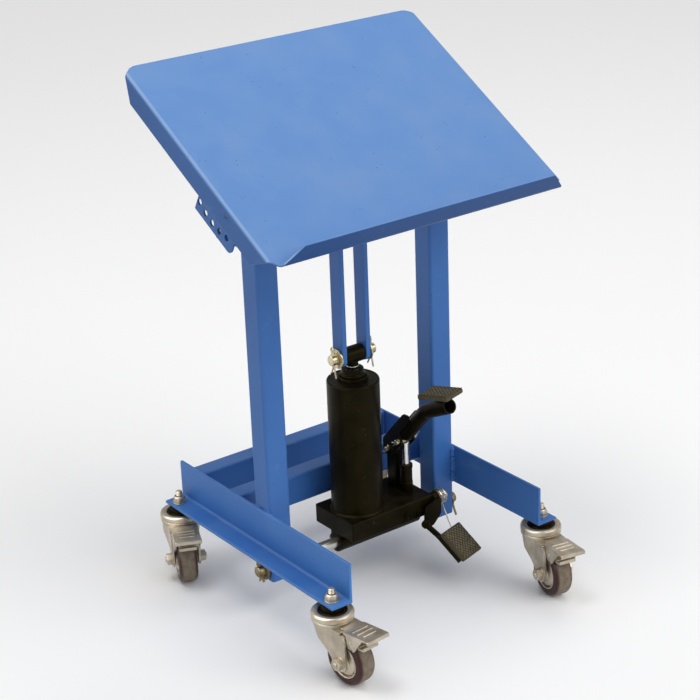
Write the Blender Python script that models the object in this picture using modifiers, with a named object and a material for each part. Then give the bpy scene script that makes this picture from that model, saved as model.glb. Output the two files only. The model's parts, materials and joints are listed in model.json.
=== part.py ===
"""Mobile tilting work table with a foot-pumped hydraulic lift, in metres, +Z up.

The floor is z = 0, the origin is the middle of the base, the operator stands at -Y.
"""
import math

import bmesh
import bpy
from mathutils import Matrix, Vector

# Fits shared by several pieces
SEAT_GAP = 0.0003
PIN_CLEARANCE = 0.0003
SLIDE_CLEARANCE = 0.0005

# Round work: sides of large, middle and small turned pieces
SIDES_LARGE = 32
SIDES_MIDDLE = 20
SIDES_SMALL = 12
HEX_SIDES = 6

# Base: two side angles joined by two cross tubes
CASTER_HEIGHT = 0.111
BASE_LENGTH = 0.436
BASE_INNER_WIDTH = 0.350
ANGLE_HEIGHT = 0.063
ANGLE_WIDTH = 0.036
ANGLE_SHEET = 0.0045
CROSS_TUBE_DEPTH = 0.031
CROSS_TUBE_HEIGHT = 0.048
CROSS_TUBE_WALL = 0.0025
REAR_TUBE_INSET = 0.047
MIDDLE_TUBE_Y = 0.072

# Telescopic posts
COLUMN_SIZE = 0.038
COLUMN_WALL = 0.003
COLUMN_FOOT_Z = 0.057
COLUMN_TOP_Z = 0.585
POST_WALL = 0.0025
POST_FOOT_Z = 0.092

# Lift beam that the posts and push bars carry
BEAM_SIZE = 0.040
BEAM_WALL = 0.003
BEAM_TOP_Z = 0.672
LUG_THICKNESS = 0.004
LUG_OUTER_X = 0.192
LUG_FRONT = 0.020
LUG_BACK = 0.050
LUG_MARGIN = 0.014
LUG_EYE_RADIUS = 0.018

# Tilting top, a folded sheet
TOP_WIDTH = 0.515
TOP_DEPTH = 0.403
TOP_SHEET = 0.003
TOP_CORNER_RADIUS = 0.014
SIDE_FLANGE_DEPTH = 0.034
FRONT_LIP_HEIGHT = 0.0335
BEND_RADIUS = 0.005
BEND_STEPS = 3
CORNER_STEPS = 4
TILT_DEGREES = 30.0
TILT_STEP_DEGREES = 10.0
TILT_HOLE_COUNT = 5
LOCKED_HOLE = 4
PIVOT_HEIGHT = 0.703
PIVOT_DROP = 0.022
PIVOT_RADIUS = 0.006
PIVOT_HEAD_RADIUS = 0.0095
PIVOT_HEAD_DEPTH = 0.007
SECTOR_THICKNESS = 0.003
SECTOR_HOLE_CIRCLE = 0.108
SECTOR_HOLE_RADIUS = 0.005
SECTOR_EDGE = 0.011
SECTOR_FRONT = 0.055
SECTOR_BACK = 0.043
SECTOR_CORNER_RADIUS = 0.008
LOCK_PIN_RADIUS = 0.0045
LOCK_PIN_INNER_X = 0.166
LOCK_KNOB_RADIUS = 0.011
LOCK_KNOB_LENGTH = 0.014

# Hydraulic ram: tank, pressure cylinder, outer stage and rod
TANK_RADIUS = 0.040
TANK_WALL = 0.003
TANK_TOP_Z = 0.327
HEAD_THICKNESS = 0.0065
STAGE_RADIUS = 0.0195
STAGE_WALL = 0.006
STAGE_HEAD_HEIGHT = 0.017
STAGE_HEAD_TAPER = 0.003
CYLINDER_WALL = 0.005
ROD_FOOT_CLEARANCE = 0.004
ROD_NECK_RADIUS = 0.0085
ROD_SHOULDER = 0.003
RAM_PIN_Z = 0.372
RAM_PIN_RADIUS = 0.008
RAM_PIN_LENGTH = 0.080
RAM_EYE_RADIUS = 0.015
RAM_EYE_WIDTH = 0.034
PUSH_BAR_THICKNESS = 0.008
PUSH_BAR_WIDTH = 0.025
PUSH_BAR_GAP = 0.0008

# Pump block with its cross shaft
BLOCK_LEFT_X = -0.045
BLOCK_RIGHT_X = 0.111
BLOCK_FRONT_Y = -0.047
BLOCK_BACK_Y = 0.049
BLOCK_TOP_Z = 0.120
BLOCK_HEIGHT = 0.031
BLOCK_EDGE = 0.0015
SHAFT_Z = 0.0725
SHAFT_RADIUS = 0.0085
SHAFT_OVERHANG = 0.015
SLEEVE_RADIUS = 0.0155
SLEEVE_WEB = 0.022

# Foot pump
PUMP_X = 0.090
BARREL_Y = -0.008
BARREL_RADIUS = 0.010
BARREL_BORE_DEPTH = 0.030
BARREL_TOP_Z = 0.166
PLUNGER_RADIUS = 0.006
PLUNGER_PIN_RADIUS = 0.004
PLUNGER_PIN_RISE = 0.0205
PLUNGER_STROKE = 0.0112
FULCRUM_Y = 0.0176
FULCRUM_Z = 0.187
FULCRUM_WIDTH = 0.018
FULCRUM_RADIUS = 0.011
FULCRUM_PIN_RADIUS = 0.004
FULCRUM_PIN_LENGTH = 0.040
LEVER_CHEEK = 0.003
LEVER_INNER_WIDTH = 0.021
LEVER_CHEEK_LENGTH = 0.0775
LEVER_CHEEK_BACK = 0.0195
LEVER_CHEEK_FRONT = 0.0125
LEVER_TUBE_RADIUS = 0.0117
LEVER_TUBE_WALL = 0.002
LEVER_TUBE_START = 0.045
LEVER_BEND_Y = -0.060
LEVER_BEND_Z = 0.2725
LEVER_BEND_RADIUS = 0.020
LEVER_END_Y = -0.1165
LEVER_END_Z = 0.300
LEVER_BORE_DEPTH = 0.040
PUMP_PAD_WIDTH = 0.043
PUMP_PAD_LENGTH = 0.0545
PEDAL_THICKNESS = 0.0083
PEDAL_EDGE = 0.0015
PEDAL_YAW_DEGREES = 16.0
PUMP_PAD_SLOPE_DEGREES = -9.5
PUMP_PAD_Y = -0.0938
PAD_SEAT_WIDTH = 0.008
PAD_SEAT_SINK = 0.85
PAD_SEAT_LENGTH = 0.026

# Release pedal
RELEASE_PIN_Y = -0.0405
RELEASE_PIN_Z = 0.1095
RELEASE_PIN_RADIUS = 0.005
RELEASE_PIN_LENGTH = 0.030
RELEASE_HUB_RADIUS = 0.010
RELEASE_HUB_LENGTH = 0.0085
RELEASE_PLATE = 0.0035
RELEASE_PLATE_Y = -0.052
RELEASE_PLATE_FOOT_Z = 0.072
RELEASE_PLATE_SHOULDER_Z = 0.106
RELEASE_PLATE_CUT = 0.016
RELEASE_ROD_RADIUS = 0.0045
RELEASE_ROD_Z = 0.0785
RELEASE_BEND_RADIUS = 0.012
RELEASE_PAD_WIDTH = 0.0485
RELEASE_PAD_LENGTH = 0.054
RELEASE_PAD_X = 0.1165
RELEASE_PAD_Y = -0.1095
RELEASE_PAD_Z = 0.0635
RELEASE_PAD_SLOPE_DEGREES = 39.0
PAD_TRAY = 0.0025
PAD_TRAY_MARGIN = 0.004
VALVE_X = 0.084
VALVE_Z = 0.098
VALVE_RADIUS = 0.007
VALVE_LENGTH = 0.0022

# Swivel casters with brakes
CASTER_OFFSET = 0.022
CASTER_INSET = 0.019
CASTER_YAW_DEGREES = {"fl": -85.0, "fr": -102.0, "rl": -115.0, "rr": 78.0}
WHEEL_RADIUS = 0.0375
TYRE_WIDTH = 0.030
TYRE_SHOULDER = 0.008
RIM_RADIUS = 0.0262
HUB_DISH = 0.003
HUB_BOSS_RADIUS = 0.012
CASTER_TRAIL = 0.036
AXLE_RADIUS = 0.005
AXLE_HEAD_RADIUS = 0.0085
AXLE_HEAD_DEPTH = 0.0105
FORK_INNER_WIDTH = 0.037
FORK_SHEET = 0.003
FORK_EYE_RADIUS = 0.013
FORK_HEEL_DROP = 0.003
CROWN_RADIUS = 0.0312
CROWN_BOTTOM_Z = 0.084
CROWN_HEIGHT = 0.0085
RACE_HEIGHT = 0.0095
RACE_DISH_RADIUS = 0.025
RACE_DISH_DEPTH = 0.004
NECK_RADIUS = 0.016
STEM_RADIUS = 0.006
KING_PIN_RADIUS = 0.008
KING_PIN_HEAD_RADIUS = 0.012
KING_PIN_HEAD_DEPTH = 0.004
NUT_RADIUS = 0.0105
NUT_HEIGHT = 0.010
STEM_TOP = 0.022
BRAKE_PIN_U = 0.046
BRAKE_PIN_Z = 0.0778
BRAKE_PIN_RADIUS = 0.0025
BRAKE_REACH = 0.096
BRAKE_WIDTH = 0.041
BRAKE_SHEET = 0.0025
BRAKE_HEEL_Z = 0.0875
BRAKE_TIP_Z = 0.0925
BRAKE_CHEEK = 0.0018
BRAKE_CHEEK_RADIUS = 0.0055
BRAKE_CHEEK_TOE = 0.074
BRAKE_SHOE_START = 0.066
BRAKE_SHOE_END = 0.078
BRAKE_SHOE_WIDTH = 0.025
BRAKE_SHOE_Z = 0.068
BRAKE_LIP = 0.005

# Worked out from the sizes above
BASE_HALF_WIDTH = BASE_INNER_WIDTH / 2
BASE_TOP_Z = CASTER_HEIGHT + ANGLE_HEIGHT
REAR_TUBE_Y = BASE_LENGTH / 2 - REAR_TUBE_INSET
CASTER_X = BASE_HALF_WIDTH + CASTER_OFFSET
CASTER_Y = BASE_LENGTH / 2 - CASTER_INSET
COLUMN_X = BASE_HALF_WIDTH - SEAT_GAP - COLUMN_SIZE / 2
POST_SIZE = COLUMN_SIZE - 2 * (COLUMN_WALL + SLIDE_CLEARANCE)
PUSH_BAR_X = RAM_EYE_WIDTH / 2 + PUSH_BAR_GAP + PUSH_BAR_THICKNESS / 2
LOCK_ANGLE = math.radians(TILT_DEGREES - TILT_STEP_DEGREES * (LOCKED_HOLE - (TILT_HOLE_COUNT + 1) / 2))
LOCK_PIN_Y = SECTOR_HOLE_CIRCLE * math.sin(LOCK_ANGLE)
LOCK_PIN_Z = PIVOT_HEIGHT - SECTOR_HOLE_CIRCLE * math.cos(LOCK_ANGLE)
SECTOR_INNER_X = LUG_OUTER_X + SEAT_GAP
SECTOR_OUTER_X = SECTOR_INNER_X + SECTOR_THICKNESS
RACE_BOTTOM_Z = CROWN_BOTTOM_Z + CROWN_HEIGHT + SEAT_GAP
RACE_TOP_Z = RACE_BOTTOM_Z + RACE_HEIGHT

AXES = {"X": Matrix.Rotation(math.pi / 2, 4, "Y"), "Y": Matrix.Rotation(-math.pi / 2, 4, "X"), "Z": Matrix()}


def clear_scene():
    for item in list(bpy.data.objects):
        bpy.data.objects.remove(item, do_unlink=True)


def new_collection(name):
    group = bpy.data.collections.new(name)
    bpy.context.scene.collection.children.link(group)
    return group


def finish(name, colour, roughness, metallic):
    material = bpy.data.materials.new(name)
    material.use_nodes = True
    shader = material.node_tree.nodes["Principled BSDF"]
    shader.inputs["Base Color"].default_value = (*colour, 1.0)
    shader.inputs["Roughness"].default_value = roughness
    shader.inputs["Metallic"].default_value = metallic
    return material


clear_scene()
PARTS = new_collection("tilting_work_table")
CUTTERS = new_collection("cutters")
BLUE_PAINT = finish("blue_paint", (0.045, 0.145, 0.45), 0.38, 0.0)
BLACK_PAINT = finish("black_paint", (0.012, 0.011, 0.009), 0.35, 0.0)
ZINC = finish("satin_zinc", (0.42, 0.38, 0.31), 0.35, 1.0)
BRIGHT_ZINC = finish("bright_zinc", (0.60, 0.57, 0.52), 0.25, 1.0)
CHROME = finish("chrome", (0.70, 0.70, 0.69), 0.12, 1.0)
BRASS = finish("brass", (0.62, 0.47, 0.20), 0.30, 1.0)
TYRE_RUBBER = finish("tyre_polyurethane", (0.055, 0.020, 0.018), 0.40, 0.0)
PEDAL_RUBBER = finish("pedal_rubber", (0.035, 0.032, 0.022), 0.70, 0.0)


def body_frame(name, location, turn=(0.0, 0.0, 0.0), parent=None):
    """An empty on a joint axis, which carries the pieces that move there."""
    empty = bpy.data.objects.new(name, None)
    empty.location = location
    empty.rotation_euler = turn
    empty.parent = parent
    empty.empty_display_size = 0.03
    PARTS.objects.link(empty)
    return empty


def piece(name, mesh, material, parent=None, smooth=False):
    mesh.name = name
    mesh.materials.clear()
    mesh.materials.append(material)
    if smooth:
        mesh.shade_smooth()
        mesh.set_sharp_from_angle(angle=math.radians(35))
    item = bpy.data.objects.new(name, mesh)
    item.parent = parent
    PARTS.objects.link(item)
    return item


def tool(mesh, parent=None):
    item = bpy.data.objects.new("cutter", mesh)
    item.parent = parent
    item.hide_render = True
    item.display_type = "WIRE"
    CUTTERS.objects.link(item)
    return item


def boolean(target, mesh, operation):
    step = target.modifiers.new(operation.lower(), "BOOLEAN")
    step.operation = operation
    step.solver = "EXACT"
    step.object = tool(mesh, target.parent)
    return target


def cut(target, *meshes):
    for mesh in meshes:
        boolean(target, mesh, "DIFFERENCE")
    return target


def join(target, *meshes):
    for mesh in meshes:
        boolean(target, mesh, "UNION")
    return target


def soften(target, width, segments=2):
    step = target.modifiers.new("edges", "BEVEL")
    step.width = width
    step.segments = segments
    step.limit_method = "ANGLE"
    step.angle_limit = math.radians(50)
    return target


def mesh_from(build, name="shape"):
    mesh = bpy.data.meshes.new(name)
    build.to_mesh(mesh)
    build.free()
    return mesh


def box(low, high, turn=None, about=(0.0, 0.0, 0.0)):
    """A block between two corners, turned about a point when a rotation is given."""
    low, high = Vector(low), Vector(high)
    build = bmesh.new()
    bmesh.ops.create_cube(build, size=1.0)
    bmesh.ops.scale(build, vec=high - low, verts=build.verts)
    bmesh.ops.translate(build, vec=(low + high) / 2, verts=build.verts)
    if turn is not None:
        bmesh.ops.rotate(build, cent=about, matrix=turn, verts=build.verts)
    return mesh_from(build)


def rod(axis, radius, start, end, at=(0.0, 0.0), sides=SIDES_MIDDLE, end_radius=None):
    """A round bar along X, Y or Z, where at gives its two other coordinates in order."""
    build = bmesh.new()
    bmesh.ops.create_cone(
        build, cap_ends=True, segments=sides, radius1=radius,
        radius2=radius if end_radius is None else end_radius, depth=end - start)
    bmesh.ops.transform(build, matrix=AXES[axis], verts=build.verts)
    place = list(at)
    place.insert("XYZ".index(axis), (start + end) / 2)
    bmesh.ops.translate(build, vec=place, verts=build.verts)
    return mesh_from(build)


def turned(name, profile, material, sides, parent=None, axis="Z", at=(0.0, 0.0, 0.0), closed=False):
    """A profile of (radius, height) points, top to bottom on the outside, swept round an axis."""
    build = bmesh.new()
    points = [build.verts.new((radius, 0.0, height)) for radius, height in profile]
    links = list(zip(points, points[1:]))
    if closed:
        links.append((points[-1], points[0]))
    for first, second in links:
        build.edges.new((first, second))
    item = bpy.data.objects.new(name, mesh_from(build, name))
    item.data.materials.append(material)
    sweep = item.modifiers.new("turn", "SCREW")
    sweep.steps = sides
    sweep.render_steps = sides
    sweep.use_merge_vertices = True
    sweep.merge_threshold = 0.00005
    sweep.use_smooth_shade = True
    item.location = at
    item.rotation_euler = AXES[axis].to_euler()
    item.parent = parent
    PARTS.objects.link(item)
    return item


def plate(outline, plane, low, high):
    """A flat outline in the XY, XZ or YZ plane, thickened from low to high along the third axis."""
    curve = bpy.data.curves.new("outline", "CURVE")
    curve.dimensions = "2D"
    curve.fill_mode = "BOTH"
    curve.extrude = (high - low) / 2
    line = curve.splines.new("POLY")
    line.points.add(len(outline) - 1)
    for point, (across, along) in zip(line.points, outline):
        point.co = (across, along, 0.0, 1.0)
    line.use_cyclic_u = True
    source = bpy.data.objects.new("outline", curve)
    bpy.context.scene.collection.objects.link(source)
    graph = bpy.context.evaluated_depsgraph_get()
    mesh = bpy.data.meshes.new_from_object(source.evaluated_get(graph))
    bpy.data.objects.remove(source, do_unlink=True)
    middle = (low + high) / 2
    turn = {
        "XY": Matrix.Translation((0.0, 0.0, middle)),
        "XZ": Matrix.Translation((0.0, middle, 0.0)) @ Matrix.Rotation(math.pi / 2, 4, "X"),
        "YZ": Matrix(((0, 0, 1, middle), (1, 0, 0, 0), (0, 1, 0, 0), (0, 0, 0, 1))),
    }[plane]
    build = bmesh.new()
    build.from_mesh(mesh)
    bmesh.ops.remove_doubles(build, verts=build.verts, dist=0.00001)
    bmesh.ops.transform(build, matrix=turn, verts=build.verts)
    bmesh.ops.recalc_face_normals(build, faces=build.faces)
    return mesh_from(build)


def arc(centre, radius, start_degrees, end_degrees, steps=6):
    """Points on an arc from one angle to another."""
    points = []
    for step in range(steps + 1):
        angle = math.radians(start_degrees + (end_degrees - start_degrees) * step / steps)
        points.append((centre[0] + radius * math.cos(angle), centre[1] + radius * math.sin(angle)))
    return points


def rectangle(left, bottom, right, top):
    return [(left, bottom), (right, bottom), (right, top), (left, top)]


def make_side_angle(name, side):
    """An L section along Y with its vertical leg inside and its flat leg pointing out."""
    inner = side * BASE_HALF_WIDTH
    outline = [
        (inner, CASTER_HEIGHT),
        (inner + side * ANGLE_WIDTH, CASTER_HEIGHT),
        (inner + side * ANGLE_WIDTH, CASTER_HEIGHT + ANGLE_SHEET),
        (inner + side * ANGLE_SHEET, CASTER_HEIGHT + ANGLE_SHEET),
        (inner + side * ANGLE_SHEET, BASE_TOP_Z),
        (inner, BASE_TOP_Z),
    ]
    angle = piece(name, plate(outline, "XZ", -BASE_LENGTH / 2, BASE_LENGTH / 2), BLUE_PAINT)
    hole_foot = CASTER_HEIGHT - ANGLE_SHEET
    hole_top = CASTER_HEIGHT + 2 * ANGLE_SHEET
    for end in (-1, 1):
        at = (side * CASTER_X, end * CASTER_Y)
        cut(angle, rod("Z", STEM_RADIUS + PIN_CLEARANCE, hole_foot, hole_top, at, SIDES_SMALL))


def make_cross_tube(name, middle_y):
    """A rectangular tube between the side angles, flush with their tops."""
    reach = BASE_HALF_WIDTH - SEAT_GAP
    half = CROSS_TUBE_DEPTH / 2
    wall = CROSS_TUBE_WALL
    foot = BASE_TOP_Z - CROSS_TUBE_HEIGHT
    outer = rectangle(middle_y - half, foot, middle_y + half, BASE_TOP_Z)
    inner = rectangle(middle_y - half + wall, foot + wall, middle_y + half - wall, BASE_TOP_Z - wall)
    tube = piece(name, plate(outer, "YZ", -reach, reach), BLUE_PAINT)
    cut(tube, plate(inner, "YZ", -reach - wall, reach + wall))


def square_tube(name, size, wall, foot, top, middle_x, parent=None):
    half = size / 2
    outer = box((middle_x - half, -half, foot), (middle_x + half, half, top))
    core = half - wall
    bore = box((middle_x - core, -core, foot - wall), (middle_x + core, core, top + wall))
    return cut(piece(name, outer, BLUE_PAINT, parent), bore)


def make_base():
    for name, side in (("left", -1), ("right", 1)):
        make_side_angle(f"{name}_side_angle", side)
        column = square_tube(
            f"{name}_column", COLUMN_SIZE, COLUMN_WALL, COLUMN_FOOT_Z, COLUMN_TOP_Z, side * COLUMN_X)
        near = side * COLUMN_X - COLUMN_SIZE
        far = side * COLUMN_X + COLUMN_SIZE
        cut(column, rod("X", SHAFT_RADIUS + PIN_CLEARANCE, near, far, (0.0, SHAFT_Z)))
    make_cross_tube("rear_cross_tube", REAR_TUBE_Y)
    make_cross_tube("middle_cross_tube", MIDDLE_TUBE_Y)


def make_pump_block():
    """The cast block that stands on a cross shaft through both columns."""
    shaft_reach = BASE_HALF_WIDTH + SHAFT_OVERHANG
    piece("pump_shaft", rod("X", SHAFT_RADIUS, -shaft_reach, shaft_reach, (0.0, SHAFT_Z)), BRIGHT_ZINC, smooth=True)
    foot = BLOCK_TOP_Z - BLOCK_HEIGHT
    low = (BLOCK_LEFT_X, BLOCK_FRONT_Y, foot)
    high = (BLOCK_RIGHT_X, BLOCK_BACK_Y, BLOCK_TOP_Z)
    block = soften(piece("pump_block", box(low, high), BLACK_PAINT), BLOCK_EDGE, 1)
    web_low = (BLOCK_LEFT_X, -SLEEVE_WEB / 2, SHAFT_Z)
    web_high = (BLOCK_RIGHT_X, SLEEVE_WEB / 2, foot + BLOCK_HEIGHT / 2)
    at = (0.0, SHAFT_Z)
    join(block, box(web_low, web_high), rod("X", SLEEVE_RADIUS, BLOCK_LEFT_X, BLOCK_RIGHT_X, at, SIDES_MIDDLE))
    bore_left = BLOCK_LEFT_X - SLEEVE_RADIUS
    bore_right = BLOCK_RIGHT_X + SLEEVE_RADIUS
    cut(block, rod("X", SHAFT_RADIUS + PIN_CLEARANCE, bore_left, bore_right, at))
    valve_top = BLOCK_FRONT_Y - SEAT_GAP
    valve_profile = [
        (0.0, VALVE_LENGTH),
        (VALVE_RADIUS * 0.6, VALVE_LENGTH),
        (VALVE_RADIUS * 0.6, VALVE_LENGTH * 0.5),
        (VALVE_RADIUS, VALVE_LENGTH * 0.5),
        (VALVE_RADIUS, 0.0),
        (0.0, 0.0),
    ]
    valve = turned("release_valve", valve_profile, BLACK_PAINT, SIDES_SMALL)
    valve.location = (VALVE_X, valve_top, VALVE_Z)
    valve.rotation_euler = (math.pi / 2, 0.0, 0.0)


def ring(name, outer, inner, foot, top, material, sides):
    profile = [(inner, top), (outer, top), (outer, foot), (inner, foot)]
    return turned(name, profile, material, sides, closed=True)


def make_ram(stage_frame, lift_frame):
    """Tank and pressure cylinder on the block, a two-stage ram and the eye that lifts the push bars."""
    foot = BLOCK_TOP_Z + SEAT_GAP
    bore = STAGE_RADIUS + PIN_CLEARANCE
    ring("reservoir_tube", TANK_RADIUS, TANK_RADIUS - TANK_WALL, foot, TANK_TOP_Z, BLACK_PAINT, SIDES_LARGE)
    ring("pressure_cylinder", bore + CYLINDER_WALL, bore, foot, TANK_TOP_Z, BRIGHT_ZINC, SIDES_MIDDLE)
    head_foot = TANK_TOP_Z + SEAT_GAP
    head_top = head_foot + HEAD_THICKNESS
    ring("cylinder_head", TANK_RADIUS, bore, head_foot, head_top, BLACK_PAINT, SIDES_LARGE)

    seat = head_top + SEAT_GAP
    stage_top = seat + STAGE_HEAD_HEIGHT
    stage_bore = STAGE_RADIUS - STAGE_WALL
    head_radius = STAGE_RADIUS + PIN_CLEARANCE
    profile = [
        (stage_bore, stage_top),
        (head_radius - STAGE_HEAD_TAPER, stage_top),
        (head_radius, seat),
        (STAGE_RADIUS, seat),
        (STAGE_RADIUS, foot + ROD_FOOT_CLEARANCE),
        (stage_bore, foot + ROD_FOOT_CLEARANCE),
    ]
    turned("ram_stage", profile, BLACK_PAINT, SIDES_MIDDLE, stage_frame, closed=True)

    rod_radius = stage_bore - PIN_CLEARANCE
    shoulder = stage_top + ROD_SHOULDER
    profile = [
        (0.0, RAM_PIN_Z),
        (ROD_NECK_RADIUS, RAM_PIN_Z),
        (ROD_NECK_RADIUS, shoulder),
        (rod_radius, shoulder),
        (rod_radius, foot + 2 * ROD_FOOT_CLEARANCE),
        (0.0, foot + 2 * ROD_FOOT_CLEARANCE),
    ]
    ram_rod = turned("ram_rod", profile, CHROME, SIDES_MIDDLE, lift_frame)
    half = RAM_EYE_WIDTH / 2
    at = (0.0, RAM_PIN_Z)
    join(ram_rod, rod("X", RAM_EYE_RADIUS, -half, half, at))
    cut(ram_rod, rod("X", RAM_PIN_RADIUS + PIN_CLEARANCE, -half - RAM_EYE_RADIUS, half + RAM_EYE_RADIUS, at))
    reach = RAM_PIN_LENGTH / 2
    piece("ram_pin", rod("X", RAM_PIN_RADIUS, -reach, reach, at), BRIGHT_ZINC, lift_frame, smooth=True)


def lug_outline():
    """Plate at a beam end: an eye round the pivot above, a foot round the lock pin below."""
    foot = LOCK_PIN_Z - LUG_MARGIN
    back = max(LUG_BACK, LOCK_PIN_Y + LUG_MARGIN)
    waist = LOCK_PIN_Z + LUG_MARGIN
    outline = [(-LUG_FRONT, foot), (back, foot), (back, waist)]
    outline += arc((0.0, PIVOT_HEIGHT), LUG_EYE_RADIUS, 20, 180)
    outline.append((-LUG_FRONT, BEAM_TOP_Z))
    return outline


def make_lift(lift_frame, lock_frame):
    """Inner posts, the beam across them with its two lugs, and the push bars from the ram."""
    ceiling = BEAM_TOP_Z - BEAM_WALL
    half = BEAM_SIZE / 2
    reach = LUG_OUTER_X - LUG_THICKNESS / 2
    foot = BEAM_TOP_Z - BEAM_SIZE
    channel = [
        (-half, foot), (-half + BEAM_WALL, foot), (-half + BEAM_WALL, ceiling),
        (half - BEAM_WALL, ceiling), (half - BEAM_WALL, foot), (half, foot),
        (half, BEAM_TOP_Z), (-half, BEAM_TOP_Z),
    ]
    beam = piece("lift_beam", plate(channel, "YZ", -reach, reach), BLUE_PAINT, lift_frame)
    for side in (-1, 1):
        ends = sorted((side * LUG_OUTER_X, side * (LUG_OUTER_X - LUG_THICKNESS)))
        join(beam, plate(lug_outline(), "YZ", *ends))
    through = LUG_OUTER_X + LUG_THICKNESS
    cut(beam, rod("X", PIVOT_RADIUS + PIN_CLEARANCE, -through, through, (0.0, PIVOT_HEIGHT)))
    cut(beam, rod("X", LOCK_PIN_RADIUS + PIN_CLEARANCE, -through, through, (LOCK_PIN_Y, LOCK_PIN_Z)))

    bar_half = PUSH_BAR_WIDTH / 2
    for name, side in (("left", -1), ("right", 1)):
        square_tube(
            f"{name}_post", POST_SIZE, POST_WALL, POST_FOOT_Z, ceiling - SEAT_GAP, side * COLUMN_X, lift_frame)
        outline = arc((0.0, RAM_PIN_Z), bar_half, 180, 360)
        outline += [(bar_half, ceiling - SEAT_GAP), (-bar_half, ceiling - SEAT_GAP)]
        low = side * PUSH_BAR_X - PUSH_BAR_THICKNESS / 2
        high = side * PUSH_BAR_X + PUSH_BAR_THICKNESS / 2
        bar = piece(f"{name}_push_bar", plate(outline, "YZ", low, high), BLUE_PAINT, lift_frame)
        at = (0.0, RAM_PIN_Z)
        cut(bar, rod("X", RAM_PIN_RADIUS + PIN_CLEARANCE, low - PUSH_BAR_GAP, high + PUSH_BAR_GAP, at))

        head_x = SECTOR_OUTER_X + SEAT_GAP
        nut_x = LUG_OUTER_X - LUG_THICKNESS - SEAT_GAP
        profile = [
            (0.0, head_x + PIVOT_HEAD_DEPTH), (PIVOT_HEAD_RADIUS, head_x + PIVOT_HEAD_DEPTH),
            (PIVOT_HEAD_RADIUS, head_x), (PIVOT_RADIUS, head_x), (PIVOT_RADIUS, nut_x),
            (PIVOT_HEAD_RADIUS, nut_x), (PIVOT_HEAD_RADIUS, nut_x - PIVOT_HEAD_DEPTH),
            (0.0, nut_x - PIVOT_HEAD_DEPTH),
        ]
        bolt = turned(f"{name}_pivot_bolt", profile, BRIGHT_ZINC, SIDES_SMALL, lift_frame)
        bolt.location = (0.0, 0.0, PIVOT_HEIGHT)
        bolt.rotation_euler = (0.0, side * math.pi / 2, 0.0)

    nose = -LUG_OUTER_X
    knob_start = -LOCK_PIN_INNER_X
    knob_end = knob_start + LOCK_KNOB_LENGTH
    pin = piece("tilt_lock_pin", rod("X", LOCK_PIN_RADIUS, nose, knob_end, sides=SIDES_SMALL), BRASS, lock_frame)
    join(pin, rod("X", LOCK_KNOB_RADIUS, knob_start, knob_end + LOCK_PIN_RADIUS, sides=SIDES_SMALL))


def fold(build, edges, bend, axis, angle, flat, inset):
    """Bends a sheet edge round an axis, then runs it on flat with ends cut on a slant."""
    bent = bmesh.ops.spin(
        build, geom=edges, cent=bend, axis=axis, dvec=(0.0, 0.0, 0.0), angle=angle, steps=BEND_STEPS)
    last = [item for item in bent["geom_last"] if isinstance(item, bmesh.types.BMEdge)]
    run = bmesh.ops.extrude_edge_only(build, edges=last)["geom"]
    ends = [item for item in run if isinstance(item, bmesh.types.BMVert)]
    bmesh.ops.translate(build, vec=flat, verts=ends)
    middle = sum((vert.co for vert in ends), Vector()) / len(ends)
    for vert in ends:
        toward = middle - vert.co
        vert.co += toward.normalized() * inset


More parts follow.
